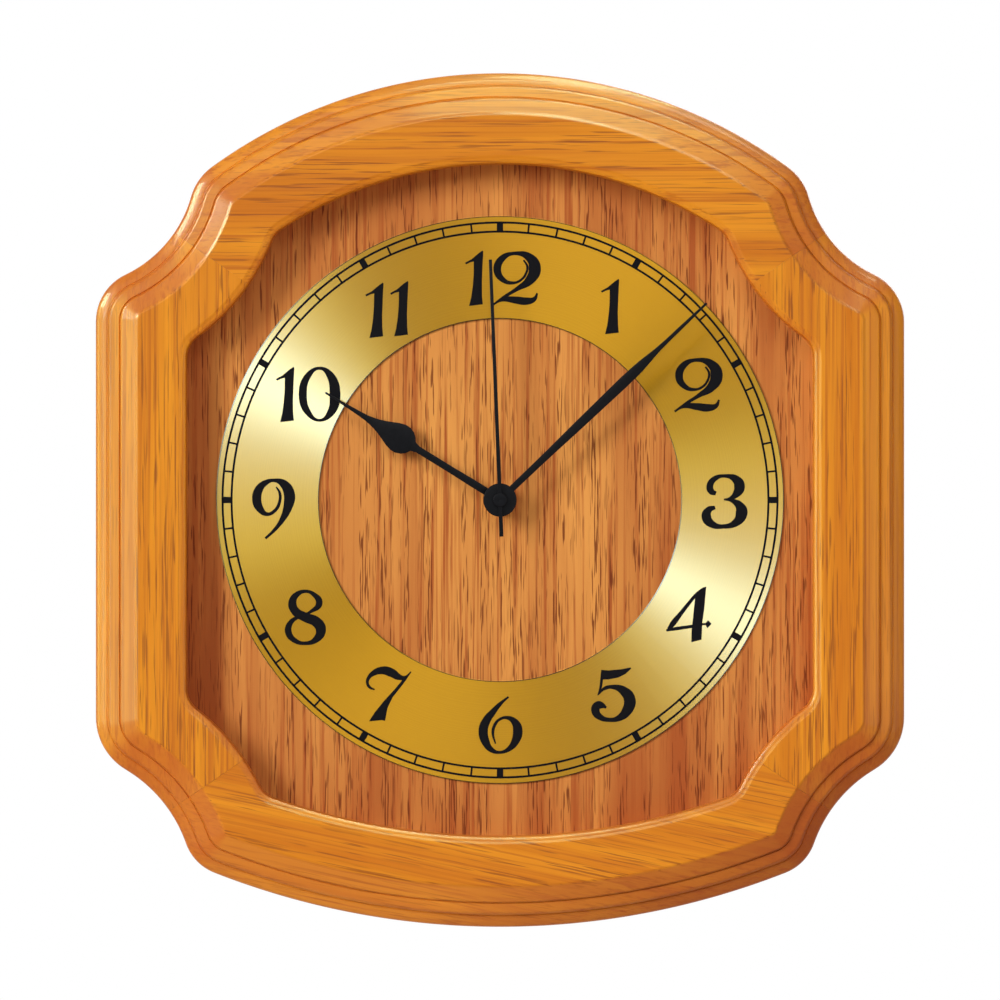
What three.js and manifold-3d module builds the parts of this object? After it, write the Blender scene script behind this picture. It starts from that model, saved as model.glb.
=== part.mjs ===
// Wooden wall clock: a curved oak frame with four mitred members, a veneered dial panel with a
// brass chapter ring, three black hands and a battery movement hung on a keyhole plate.
// Millimetres. Pieces are laid out with x to the right, y up and z from the wall to the front,
// and the last group stands them up with z pointing out of the wall towards -Y.

import * as THREE from "three";
import { mergeVertices } from "three/addons/utils/BufferGeometryUtils.js";
import Module from "manifold-3d";

const wasm = await Module();
wasm.setup();

// Case outline
const CASE_WIDTH = 303;
const CASE_HEIGHT = 320;
const CASE_DEPTH = 45;
const TOP_ARCH_PER_WIDTH = 0.606;
const BOTTOM_ARCH_PER_WIDTH = 0.967;
const TOP = {
  archRadius: TOP_ARCH_PER_WIDTH * CASE_WIDTH,
  coveRadius: 46.2,
  coveBeyondSide: 8.8,
  coveBelowEdge: 33.8,
  archShoulder: 21,
  sideShoulder: 19.5,
};
const BOTTOM = {
  archRadius: BOTTOM_ARCH_PER_WIDTH * CASE_WIDTH,
  coveRadius: 52.3,
  coveBeyondSide: 15.6,
  coveBelowEdge: 14,
  archShoulder: 18.5,
  sideShoulder: 22.9,
};

// Frame section, insets measured from the outer outline and drops from the flat front face
const FRAME_WIDTH = 34.1;
const BEAD_WIDTH = 4.4;
const SECOND_BEAD_WIDTH = 5.2;
const SLOPE_WIDTH = 5.6;
const SLOPE_DROP = 2.5;
const ARRIS_DROP = 0.5;
const STEP_DROP = 1.2;
const SECOND_BEAD_DROP = 3.2;
const BEAD_DROP = 4;
const QUIRK_DEPTH = 0.6;
const QUIRK_HALF = 0.25;
const EDGE_ROUND = 1.5;
const EDGE_STEP = 0.3;
const EDGE_SMALL_ROUND = 0.75;
const OPENING_FILLET = 9.4;
const LEAST_FILLET = 3;
const REBATE_FILLET = 4;
const REBATE_WIDTH = 8.1;
const RECESS_DEPTH = 14;

// Corner joints
const GLUE_GAP = 0.3;
const MITRE_ANGLE = THREE.MathUtils.degToRad(34.5);
const SPLINE_MARGIN = 4;
const SPLINE_WIDTH = 10;
const SPLINE_THICKNESS = 4;
const SPLINE_FROM_BACK = 12;

// Dial
const PANEL_THICKNESS = 4;
const PANEL_CLEARANCE = 0.3;
const RING_CLEARANCE = 10.9;
const RING_BAND = 38.5;
const RING_OUTER_RADIUS = CASE_WIDTH / 2 - FRAME_WIDTH - RING_CLEARANCE;
const RING_INNER_RADIUS = RING_OUTER_RADIUS - RING_BAND;
const RING_THICKNESS = 0.8;

// Screws
const SCREW_CLEARANCE = 0.3;
const PANEL_SCREW = { head: 2.5, headHeight: 1.6, shank: 1.2, length: 12 };
const PANEL_SCREW_X = 50;
const HANGER_SCREW = { head: 2.75, headHeight: 1.5, shank: 1.25, length: 12 };

// Keyhole hanger
const HANGER_WIDTH = 44;
const HANGER_HEIGHT = 18;
const HANGER_THICKNESS = 1.2;
const HANGER_CORNER = 3;
const HANGER_RECESS = 2;
const HANGER_POCKET_CLEARANCE = 0.3;
const HANGER_SCREW_INSET = 6;
const KEYHOLE_ENTRY_RADIUS = 4;
const KEYHOLE_SLOT_RADIUS = 2.2;
const KEYHOLE_DROP = 7;
const HEAD_POCKET_DEPTH = 8;
const HEAD_POCKET_MARGIN = 1.5;

// Movement
const MOVEMENT_CORNER = 4;
const ROOM_ABOVE_AXIS = 20.5;
const ROOM_BELOW_AXIS = 16.2;
const MOVEMENT_WALL = 1.5;
const WHEEL_THICKNESS = 1.2;
const LAYER_GAP = 0.5;
const LAYERS = 7;
const RUNNING_GAP = 0.15;
const PRESS_GAP = 0.1;
const PIVOT_DEPTH = 0.9;
const ARBOR_RADIUS = 0.4;
const BUSH_RADIUS = 4;
const BUSH_FLANGE_RADIUS = 6.5;
const BUSH_FLANGE_THICKNESS = 1;
const BUSH_BEYOND_NUT = 0.6;
const RUBBER_RADIUS = 11;
const RUBBER_THICKNESS = 1;
const WASHER_RADIUS = 6;
const WASHER_THICKNESS = 0.6;
const NUT_ACROSS_FLATS = 10;
const NUT_HEIGHT = 2.6;
const HOUR_PIPE_RADIUS = 2.55;
const MINUTE_PIPE_RADIUS = 1.4;
const SECOND_ARBOR_RADIUS = 0.5;

// Gear train
const FAST_MODULE = 0.3;
const MOTION_MODULE = 0.5;
const ROTOR_LEAVES = 6;
const INTERMEDIATE_TEETH = 30;
const INTERMEDIATE_LEAVES = 6;
const SECOND_TEETH = 36;
const SECOND_LEAVES = 6;
const THIRD_TEETH = 45;
const THIRD_LEAVES = 6;
const CENTRE_TEETH = 48;
const CANNON_LEAVES = 8;
const MINUTE_TEETH = 24;
const MINUTE_LEAVES = 8;
const HOUR_TEETH = 32;
const SET_LEAVES = 8;
const INTERMEDIATE_BEARING = THREE.MathUtils.degToRad(200);
const THIRD_BEARING = THREE.MathUtils.degToRad(110);
const MINUTE_BEARING = THREE.MathUtils.degToRad(20);
const SET_TEETH_ROUND = 8;
const ADDENDUM = 0.8;
const DEDENDUM = 1.2;
const TIP_SHARE = 0.1;
const ROOT_SHARE = 0.24;

// Motor, circuit and battery
const MAGNET_RADIUS = 2;
const STATOR_THICKNESS = 0.8;
const STATOR_GAP = 0.4;
const COIL_WALL_GAP = 0.6;
const STATOR_HEIGHT = 20;
const STATOR_LEG = 3;
const STATOR_BAR = 3.2;
const STATOR_POLE = 8;
const COIL_WALL = 1.3;
const COIL_CLEARANCE = 0.3;
const POST_RADIUS = 1.2;
const BOARD_WIDTH = 11;
const BOARD_HEIGHT = 26;
const BOARD_THICKNESS = 1;
const BOARD_WALL_GAP = 1.5;
const CRYSTAL_RADIUS = 1;
const CRYSTAL_LENGTH = 6;
const CHIP_RADIUS = 3;
const CHIP_HEIGHT = 1;
const CELL_RADIUS = 7.1;
const CELL_LENGTH = 49;
const CELL_NUB_RADIUS = 2.75;
const CELL_NUB_LENGTH = 1.3;
const CELL_CLEARANCE = 0.3;
const CONTACT_THICKNESS = 1;
const CONTACT_SIZE = 9;
const KNOB_RADIUS = 5;
const KNOB_HEIGHT = 4;
const KNOB_RIBS = 18;
const KNOB_RIB_DEPTH = 0.4;
const SET_SHAFT_RADIUS = 1;

// Hands: radii along the hand from the axis, half widths across it
const HOUR_HAND_ABOVE_BUSH = 0.8;
const MINUTE_HAND_ABOVE_HOUR = 4.4;
const SECOND_HAND_ABOVE_MINUTE = 2;
const HAND_THICKNESS = 0.6;
const SECOND_HAND_THICKNESS = 0.4;
const SECOND_HAND_CAP = 0.4;
const PIPE_BEYOND_HAND = 0.3;
const HOUR_HAND_OVER_RING = 8.8;
const MINUTE_HAND_PAST_RING = 0.3;
const SECOND_HAND_SHORT_OF_RING = 16.5;
const HOUR_HAND = {
  length: RING_INNER_RADIUS + HOUR_HAND_OVER_RING,
  hub: 5.2,
  stem: 1.3,
  bulbStart: 37.6,
  bulbAt: 44.6,
  bulb: 5.6,
  neck: 60,
  neckHalf: 0.8,
  point: 0.4,
};
const MINUTE_HAND = {
  length: RING_OUTER_RADIUS + MINUTE_HAND_PAST_RING,
  hub: 6.25,
  stem: 1.3,
  wideAt: 63.7,
  wide: 2.05,
  neck: 84.5,
  neckHalf: 0.8,
  point: 0.5,
};
const SECOND_HAND = {
  length: RING_OUTER_RADIUS - SECOND_HAND_SHORT_OF_RING,
  tail: 13.7,
  hub: 2.6,
  half: 0.65,
};
const HOUR_HAND_ANGLE = THREE.MathUtils.degToRad(301.6);
const MINUTE_HAND_ANGLE = THREE.MathUtils.degToRad(46.4);
const SECOND_HAND_ANGLE = THREE.MathUtils.degToRad(357.7);

// Levels from the wall
const HALF_WIDTH = CASE_WIDTH / 2;
const HALF_HEIGHT = CASE_HEIGHT / 2;
const DIAL_Z = CASE_DEPTH - RECESS_DEPTH;
const PANEL_BACK = DIAL_Z - PANEL_THICKNESS;
const COVER_FRONT = PANEL_BACK - RUBBER_THICKNESS - BUSH_FLANGE_THICKNESS;
const COVER_BACK = COVER_FRONT - MOVEMENT_WALL;
const LAYER_PITCH = WHEEL_THICKNESS + LAYER_GAP;
const ROOM_BACK = COVER_BACK - LAYER_GAP - LAYERS * LAYER_PITCH;
const MOVEMENT_BACK = ROOM_BACK - MOVEMENT_WALL;
const NUT_FRONT = DIAL_Z + WASHER_THICKNESS + NUT_HEIGHT;

// Facets of round pieces, and how far a cutter runs past the face that it cuts
const FINE = 24;
const COARSE = 12;
const RING_SIDES = 72;
const CORNER_SEGMENTS = 4;
const HAND_STEPS = 5;
const BEAD_STEPS = 4;
const SECOND_BEAD_STEPS = 3;
const EDGE_STEPS = 3;
const MERGE_WITHIN = 1e-5;
const OVERCUT = 1;

// Layers of the movement, counted from the front cover
const HOUR_LAYER = 0;
const MOTION_LAYER = 1;
const CENTRE_LAYER = 2;
const THIRD_LAYER = 3;
const PLATE_LAYER = 4;
const SECOND_LAYER = 5;
const INTERMEDIATE_LAYER = 6;
const layerFront = (layer) => COVER_BACK - LAYER_GAP - layer * LAYER_PITCH;
const layerBack = (layer) => layerFront(layer) - WHEEL_THICKNESS;

// Solids

function solidOf(geometry) {
  const bare = geometry.index ? geometry.clone() : geometry;
  bare.deleteAttribute("normal");
  bare.deleteAttribute("uv");
  const merged = mergeVertices(bare, MERGE_WITHIN);
  return new wasm.Manifold(
    new wasm.Mesh({
      numProp: 3,
      vertProperties: new Float32Array(merged.attributes.position.array),
      triVerts: new Uint32Array(merged.index.array),
    }),
  );
}

function geometryOf(solid) {
  const mesh = solid.getMesh();
  const geometry = new THREE.BufferGeometry();
  geometry.setAttribute("position", new THREE.BufferAttribute(mesh.vertProperties, 3));
  geometry.setIndex(new THREE.BufferAttribute(mesh.triVerts, 1));
  geometry.computeVertexNormals();
  return geometry;
}

function rod(radius, z0, z1, x = 0, y = 0, sides = FINE) {
  const geometry = new THREE.CylinderGeometry(radius, radius, z1 - z0, sides);
  geometry.rotateX(Math.PI / 2);
  geometry.translate(x, y, (z0 + z1) / 2);
  return solidOf(geometry);
}

function block(x0, x1, y0, y1, z0, z1) {
  const geometry = new THREE.BoxGeometry(x1 - x0, y1 - y0, z1 - z0);
  geometry.translate((x0 + x1) / 2, (y0 + y1) / 2, (z0 + z1) / 2);
  return solidOf(geometry);
}

function plate(shape, z0, z1, curveSegments = FINE) {
  const geometry = new THREE.ExtrudeGeometry(shape, {
    depth: z1 - z0,
    bevelEnabled: false,
    curveSegments,
  });
  geometry.translate(0, 0, z0);
  return solidOf(geometry);
}

function polygon(points) {
  return new THREE.Shape(points.map(([x, y]) => new THREE.Vector2(x, y)));
}

function roundedRectangle(x0, x1, y0, y1, radius) {
  const shape = new THREE.Shape();
  shape.moveTo(x0 + radius, y0);
  shape.lineTo(x1 - radius, y0);
  shape.absarc(x1 - radius, y0 + radius, radius, -Math.PI / 2, 0);
  shape.lineTo(x1, y1 - radius);
  shape.absarc(x1 - radius, y1 - radius, radius, 0, Math.PI / 2);
  shape.lineTo(x0 + radius, y1);
  shape.absarc(x0 + radius, y1 - radius, radius, Math.PI / 2, Math.PI);
  shape.lineTo(x0, y0 + radius);
  shape.absarc(x0 + radius, y0 + radius, radius, Math.PI, 1.5 * Math.PI);
  return shape;
}

function along(from, bearing, distance) {
  return [from[0] + distance * Math.cos(bearing), from[1] + distance * Math.sin(bearing)];
}

// Case outline: an arch, a shoulder, a cove and a second shoulder lead into each straight side

function arcPoints([cx, cy], radius, from, to, steps) {
  const points = [];
  for (let i = 0; i <= steps; i++) {
    points.push(along([cx, cy], from + ((to - from) * i) / steps, radius));
  }
  return points;
}

const angleTo = (from, to) => Math.atan2(to[1] - from[1], to[0] - from[0]);
const coveCentre = (end) => [HALF_WIDTH + end.coveBeyondSide, HALF_HEIGHT - end.coveBelowEdge];

function archShoulderCentre(arch, archReach, cove, coveReach) {
  const apart = Math.hypot(cove[0] - arch[0], cove[1] - arch[1]);
  const near = (archReach ** 2 - coveReach ** 2 + apart ** 2) / (2 * apart);
  const off = Math.sqrt(archReach ** 2 - near ** 2);
  const bearing = angleTo(arch, cove);
  return along(along(arch, bearing, near), bearing + Math.PI / 2, off);
}

const ARCH_STEPS = 8;
const SHOULDER_STEPS = 3;
const COVE_STEPS = 5;

// One quarter of the outline, from the apex on the middle line to the start of the straight side
function quarterOutline(end, inset, archFillet, sideFillet) {
  const arch = [0, HALF_HEIGHT - end.archRadius];
  const cove = coveCentre(end);
  const coveRadius = end.coveRadius + inset;
  const archRadius = end.archRadius - inset;
  const upper = archShoulderCentre(arch, archRadius - archFillet, cove, coveRadius + archFillet);
  const lowerX = HALF_WIDTH - inset - sideFillet;
  const reach = coveRadius + sideFillet;
  const lower = [lowerX, cove[1] - Math.sqrt(reach ** 2 - (cove[0] - lowerX) ** 2)];
  const archEnd = angleTo(arch, upper);
  const coveStart = angleTo(cove, upper) + (angleTo(cove, upper) < 0 ? 2 * Math.PI : 0);
  const coveEnd = angleTo(cove, lower) + (angleTo(cove, lower) < 0 ? 2 * Math.PI : 0);
  return [
    ...arcPoints(arch, archRadius, Math.PI / 2, archEnd, ARCH_STEPS),
    ...arcPoints(upper, archFillet, archEnd, coveStart - Math.PI, SHOULDER_STEPS).slice(1),
    ...arcPoints(cove, coveRadius, coveStart, coveEnd, COVE_STEPS).slice(1),
    ...arcPoints(lower, sideFillet, coveEnd - Math.PI, 0, SHOULDER_STEPS).slice(1),
  ];
}

// The whole outline, clockwise from the top of the arch. fillet(shoulder) gives each shoulder radius
function caseOutline(inset, fillet) {
  const quarter = (end) => quarterOutline(end, inset, fillet(end.archShoulder), fillet(end.sideShoulder));
  const lower = quarter(BOTTOM).map(([x, y]) => [x, -y]);
  const right = [...quarter(TOP), ...lower.reverse()];
  const left = right.slice(1, -1).map(([x, y]) => [-x, y]);
  return [...right, ...left.reverse()];
}

// Frame section, from the outer back edge round the front to the rebate
const outerFillet = (inset) => (shoulder) => Math.max(shoulder - inset, LEAST_FILLET);
const openingFillet = (inset) => () => OPENING_FILLET + FRAME_WIDTH - inset;
const rebateFillet = () => REBATE_FILLET;
const REBATE_INSET = FRAME_WIDTH - REBATE_WIDTH;

function frameSection() {
  const slopeInset = BEAD_WIDTH + SECOND_BEAD_WIDTH;
  const arrisInset = slopeInset + SLOPE_WIDTH;
  const slopeFoot = CASE_DEPTH - SLOPE_DROP;
  const secondTop = slopeFoot - STEP_DROP;
  const secondFoot = secondTop - SECOND_BEAD_DROP;
  const outer = [];
  const add = (inset, z) => outer.push({ inset, z, fillet: outerFillet(inset) });
  const addRound = (inset0, inset1, z0, z1, steps) => {
    for (let i = 0; i <= steps; i++) {
      const turn = ((Math.PI / 2) * i) / steps;
      add(inset1 - (inset1 - inset0) * Math.cos(turn), z0 + (z1 - z0) * Math.sin(turn));
    }
  };
  add(0, 0);
  addRound(0, BEAD_WIDTH - QUIRK_HALF, secondFoot - BEAD_DROP, secondFoot, BEAD_STEPS);
  add(BEAD_WIDTH, secondFoot - QUIRK_DEPTH);
  addRound(BEAD_WIDTH + QUIRK_HALF, slopeInset, secondFoot, secondTop, SECOND_BEAD_STEPS);
  add(slopeInset, slopeFoot);
  add(arrisInset - ARRIS_DROP, CASE_DEPTH - ARRIS_DROP);
  add(arrisInset, CASE_DEPTH);
  const inner = [];
  const addInner = (inset, z) => inner.push({ inset, z, fillet: openingFillet(inset) });
  const edge = FRAME_WIDTH - EDGE_SMALL_ROUND;
  for (let i = 0; i <= EDGE_STEPS; i++) {
    const turn = ((Math.PI / 2) * i) / EDGE_STEPS;
    addInner(edge - EDGE_ROUND * (1 - Math.sin(turn)), CASE_DEPTH - EDGE_ROUND * (1 - Math.cos(turn)));
  }
  addInner(edge, CASE_DEPTH - EDGE_ROUND - EDGE_STEP);
  addInner(FRAME_WIDTH, CASE_DEPTH - EDGE_ROUND - EDGE_STEP - EDGE_SMALL_ROUND);
  addInner(FRAME_WIDTH, DIAL_Z);
  return [
    ...outer,
    ...inner,
    { inset: REBATE_INSET, z: DIAL_Z, fillet: rebateFillet },
    { inset: REBATE_INSET, z: 0, fillet: rebateFillet },
  ];
}

function frameLoop() {
  const section = frameSection();
  const loops = section.map(({ inset, fillet }) => caseOutline(inset, fillet));
  const stations = loops[0].length;
  const positions = [];
  loops.forEach((loop, i) => loop.forEach(([x, y]) => positions.push(x, y, section[i].z)));
  const index = [];
  for (let i = 0; i < loops.length; i++) {
    const next = (i + 1) % loops.length;
    for (let j = 0; j < stations; j++) {
      const beside = (j + 1) % stations;
      const [a, b] = [i * stations + j, i * stations + beside];
      const [c, d] = [next * stations + beside, next * stations + j];
      index.push(a, c, b, a, d, c);
    }
  }
  const geometry = new THREE.BufferGeometry();
  geometry.setAttribute("position", new THREE.Float32BufferAttribute(positions, 3));
  geometry.setIndex(index);
  return solidOf(geometry);
}

// Each mitre lies on a line through the centre of its cove
const mitreBearing = (end) => (end === TOP ? Math.PI + MITRE_ANGLE : Math.PI - MITRE_ANGLE);
const mitrePoint = (end) => {
  const [x, y] = coveCentre(end);
  return [x, end === TOP ? y : -y];
};
const mitreAt = (end, x) => {
  const [px, py] = mitrePoint(end);
  return py + (x - px) * Math.tan(mitreBearing(end));
};

function mitreWedges() {
  const far = HALF_WIDTH + HALF_HEIGHT;
  const lift = GLUE_GAP / 2 / Math.cos(MITRE_ANGLE);
  const topLine = (x, shift) => [x, mitreAt(TOP, Math.abs(x)) + shift];
  const bottomLine = (x, shift) => [x, mitreAt(BOTTOM, Math.abs(x)) + shift];
  const wedge = (points) => plate(polygon(points), -OVERCUT, CASE_DEPTH + OVERCUT);
  const start = (HALF_WIDTH - FRAME_WIDTH) / 2;
  const side = (sign) => [
    bottomLine(sign * start, lift),
    bottomLine(sign * far, lift),
    topLine(sign * far, -lift),
    topLine(sign * start, -lift),
  ];
  return {
    top: wedge([topLine(0, lift), topLine(far, lift), [far, 2 * far], [-far, 2 * far], topLine(-far, lift)]),
    bottom: wedge([
      bottomLine(0, -lift),
      bottomLine(-far, -lift),
      [-far, -2 * far],
      [far, -2 * far],
      bottomLine(far, -lift),
    ]),
    left: wedge(side(-1).reverse()),
    right: wedge(side(1)),
  };
}

// A loose tongue across one mitre, grown by a clearance for its slot
function spline(end, sign, clearance) {
  const [cx, cy] = mitrePoint(end);
  const bearing = mitreBearing(end);
  const [x, y] = along([cx, cy], bearing, end.coveRadius + REBATE_INSET / 2);
  const turned = new THREE.BoxGeometry(
    REBATE_INSET - 2 * SPLINE_MARGIN + 2 * clearance,
    SPLINE_WIDTH + 2 * clearance,
    SPLINE_THICKNESS + 2 * clearance,
  );
  turned.rotateZ(sign > 0 ? bearing : Math.PI - bearing);
  turned.translate(sign * x, y, SPLINE_FROM_BACK + SPLINE_THICKNESS / 2);
  return solidOf(turned);
}

// Screws that hold the panel against the rebate ledge, driven from behind
const LEDGE_INSET = FRAME_WIDTH - REBATE_WIDTH / 2;

function ledgeOnArch(end, x) {
  const reach = end.archRadius - LEDGE_INSET;
  const y = HALF_HEIGHT - end.archRadius + Math.sqrt(reach ** 2 - x ** 2);
  return [x, end === TOP ? y : -y];
}

const PANEL_SCREW_PLACES = [
  ledgeOnArch(TOP, -PANEL_SCREW_X),
  ledgeOnArch(TOP, PANEL_SCREW_X),
  [HALF_WIDTH - LEDGE_INSET, 0],
  ledgeOnArch(BOTTOM, PANEL_SCREW_X),
  ledgeOnArch(BOTTOM, -PANEL_SCREW_X),
  [LEDGE_INSET - HALF_WIDTH, 0],
];

function screw({ head, headHeight, shank, length }, seat, [x, y]) {
  const body = rod(shank, seat - headHeight / 2, seat + length, x, y, COARSE);
  const cap = rod(head, seat - headHeight, seat, x, y, COARSE);
  const slotHalf = shank / 4;
  const slotEnd = seat - headHeight / 2;
  const slot = block(x - head, x + head, y - slotHalf, y + slotHalf, slotEnd - headHeight, slotEnd);
  return body.add(cap.subtract(slot));
}

function screwHole({ shank, length }, seat, [x, y]) {
  const end = seat + length + SCREW_CLEARANCE;
  return rod(shank + SCREW_CLEARANCE, seat - OVERCUT, end, x, y, COARSE);
}

// Keyhole hanger, let into the back of the top rail
const HANGER_MIDDLE_Y = HALF_HEIGHT - REBATE_INSET / 2;
const HOOK_Y = HANGER_MIDDLE_Y + KEYHOLE_DROP / 2;
const HANGER_SEAT = HANGER_RECESS + HANGER_THICKNESS;
const HANGER_SCREW_X = HANGER_WIDTH / 2 - HANGER_SCREW_INSET;
const HANGER_SCREW_PLACES = [
  [-HANGER_SCREW_X, HANGER_MIDDLE_Y],
  [HANGER_SCREW_X, HANGER_MIDDLE_Y],
];
const ENTRY_Y = HOOK_Y - KEYHOLE_DROP;

function hangerPlate() {
  const halfHeight = HANGER_HEIGHT / 2;
  const shape = roundedRectangle(
    -HANGER_WIDTH / 2,
    HANGER_WIDTH / 2,
    HANGER_MIDDLE_Y - halfHeight,
    HANGER_MIDDLE_Y + halfHeight,
    HANGER_CORNER,
  );
  const slotTop = HOOK_Y - KEYHOLE_SLOT_RADIUS;
  const keyhole = rod(KEYHOLE_ENTRY_RADIUS, 0, CASE_DEPTH, 0, ENTRY_Y, COARSE)
    .add(rod(KEYHOLE_SLOT_RADIUS, 0, CASE_DEPTH, 0, slotTop, COARSE))
    .add(block(-KEYHOLE_SLOT_RADIUS, KEYHOLE_SLOT_RADIUS, ENTRY_Y, slotTop, 0, CASE_DEPTH));
  let body = plate(shape, HANGER_RECESS, HANGER_SEAT, CORNER_SEGMENTS).subtract(keyhole);
  for (const place of HANGER_SCREW_PLACES) {
    body = body.subtract(screwHole(HANGER_SCREW, HANGER_RECESS, place));
  }
  return body;
}

function hangerPocket() {
  const halfWidth = HANGER_WIDTH / 2 + HANGER_POCKET_CLEARANCE;
  const halfHeight = HANGER_HEIGHT / 2 + HANGER_POCKET_CLEARANCE;
  const headReach = KEYHOLE_ENTRY_RADIUS + HEAD_POCKET_MARGIN;
  const seat = block(
    -halfWidth,
    halfWidth,
    HANGER_MIDDLE_Y - halfHeight,
    HANGER_MIDDLE_Y + halfHeight,
    -OVERCUT,
    HANGER_SEAT,
  );
  return seat.add(
    block(
      -headReach,
      headReach,
      ENTRY_Y - KEYHOLE_ENTRY_RADIUS,
      HOOK_Y + HEAD_POCKET_MARGIN,
      0,
      HANGER_SEAT + HEAD_POCKET_DEPTH,
    ),
  );
}

// Dial panel, chapter ring and the clamp of the movement

function dialPanel() {
  const shape = polygon(caseOutline(REBATE_INSET + PANEL_CLEARANCE, rebateFillet).reverse());
  let body = plate(shape, PANEL_BACK, DIAL_Z);
  body = body.subtract(rod(BUSH_RADIUS + SCREW_CLEARANCE, PANEL_BACK - OVERCUT, DIAL_Z + OVERCUT));
  for (const place of PANEL_SCREW_PLACES) {
    body = body.subtract(screwHole(PANEL_SCREW, PANEL_BACK, place));
  }
  return body;
}

function annulus(outer, inner, z0, z1, sides = FINE) {
  return rod(outer, z0, z1, 0, 0, sides).subtract(rod(inner, z0 - OVERCUT, z1 + OVERCUT, 0, 0, sides));
}

function hexNut() {
  const across = new THREE.CylinderGeometry(1, 1, NUT_HEIGHT, 6);
  const corner = NUT_ACROSS_FLATS / Math.sqrt(3);
  across.scale(corner, 1, corner);
  across.rotateX(Math.PI / 2);
  across.translate(0, 0, NUT_FRONT - NUT_HEIGHT / 2);
  return solidOf(across).subtract(rod(BUSH_RADIUS + PRESS_GAP, DIAL_Z, NUT_FRONT + OVERCUT));
}

// Gears with straight-sided teeth. phase turns one tooth to that bearing

function gearShape(module, teeth, phase) {
  const pitch = (module * teeth) / 2;
  const tip = pitch + ADDENDUM * module;
  const root = pitch - DEDENDUM * module;
  const step = (2 * Math.PI) / teeth;
  const tipHalf = (TIP_SHARE * step * pitch) / tip;
  const rootHalf = ROOT_SHARE * step;
  const points = [];
  for (let i = 0; i < teeth; i++) {
    const middle = phase + i * step;
    points.push(along([0, 0], middle - rootHalf, root));
    points.push(along([0, 0], middle - tipHalf, tip));
    points.push(along([0, 0], middle + tipHalf, tip));
    points.push(along([0, 0], middle + rootHalf, root));
  }
  return polygon(points);
}

function gear(module, teeth, phase, z0, z1, [x, y] = [0, 0]) {
  return plate(gearShape(module, teeth, phase), z0, z1).translate(x, y, 0);
}

const gapFacing = (bearing, teeth) => bearing + Math.PI / teeth;
const meshDistance = (module, a, b) => (module * (a + b)) / 2;

const AXIS = [0, 0];
const THIRD_DISTANCE = meshDistance(FAST_MODULE, SECOND_LEAVES, THIRD_TEETH);
const CENTRE_MODULE = (2 * THIRD_DISTANCE) / (THIRD_LEAVES + CENTRE_TEETH);
const MINUTE_DISTANCE = meshDistance(MOTION_MODULE, CANNON_LEAVES, MINUTE_TEETH);
const HOUR_MODULE = (2 * MINUTE_DISTANCE) / (MINUTE_LEAVES + HOUR_TEETH);
const SET_BEARING = MINUTE_BEARING + Math.PI - (SET_TEETH_ROUND * 2 * Math.PI) / MINUTE_TEETH;
const INTERMEDIATE_PLACE = along(
  AXIS,
  INTERMEDIATE_BEARING,
  meshDistance(FAST_MODULE, SECOND_TEETH, INTERMEDIATE_LEAVES),
);
const ROTOR_PLACE = along(
  INTERMEDIATE_PLACE,
  INTERMEDIATE_BEARING,
  meshDistance(FAST_MODULE, INTERMEDIATE_TEETH, ROTOR_LEAVES),
);
const THIRD_PLACE = along(AXIS, THIRD_BEARING, THIRD_DISTANCE);
const MINUTE_PLACE = along(AXIS, MINUTE_BEARING, MINUTE_DISTANCE);
const SET_PLACE = along(MINUTE_PLACE, SET_BEARING, meshDistance(MOTION_MODULE, SET_LEAVES, MINUTE_TEETH));

const BUSH_FRONT = NUT_FRONT + BUSH_BEYOND_NUT;
const HOUR_HAND_Z = BUSH_FRONT + HOUR_HAND_ABOVE_BUSH;
const MINUTE_HAND_Z = HOUR_HAND_Z + MINUTE_HAND_ABOVE_HOUR;
const SECOND_HAND_Z = MINUTE_HAND_Z + SECOND_HAND_ABOVE_MINUTE;
const PIVOT_BACK = ROOM_BACK - PIVOT_DEPTH + RUNNING_GAP;
const PIVOT_FRONT = COVER_BACK + PIVOT_DEPTH - RUNNING_GAP;
const REACH = LAYER_GAP / 2;

const rearArbor = (radius, z1, [x, y]) => rod(radius, PIVOT_BACK, z1, x, y, COARSE);

function rotor() {
  return gear(
    FAST_MODULE,
    ROTOR_LEAVES,
    gapFacing(INTERMEDIATE_BEARING + Math.PI, ROTOR_LEAVES),
    layerBack(INTERMEDIATE_LAYER) - REACH,
    layerBack(SECOND_LAYER) + REACH,
    ROTOR_PLACE,
  )
    .add(rod(MAGNET_RADIUS, layerBack(SECOND_LAYER), layerFront(SECOND_LAYER), ...ROTOR_PLACE, COARSE))
    .add(rearArbor(ARBOR_RADIUS, layerFront(PLATE_LAYER) - REACH, ROTOR_PLACE));
}

function intermediateWheel() {
  const facing = INTERMEDIATE_BEARING + Math.PI;
  return gear(
    FAST_MODULE,
    INTERMEDIATE_TEETH,
    INTERMEDIATE_BEARING,
    layerBack(INTERMEDIATE_LAYER),
    layerFront(INTERMEDIATE_LAYER),
    INTERMEDIATE_PLACE,
  )
    .add(
      gear(
        FAST_MODULE,
        INTERMEDIATE_LEAVES,
        gapFacing(facing, INTERMEDIATE_LEAVES),
        layerBack(INTERMEDIATE_LAYER),
        layerFront(SECOND_LAYER) + REACH,
        INTERMEDIATE_PLACE,
      ),
    )
    .add(rearArbor(ARBOR_RADIUS, layerFront(PLATE_LAYER) - REACH, INTERMEDIATE_PLACE));
}

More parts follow.
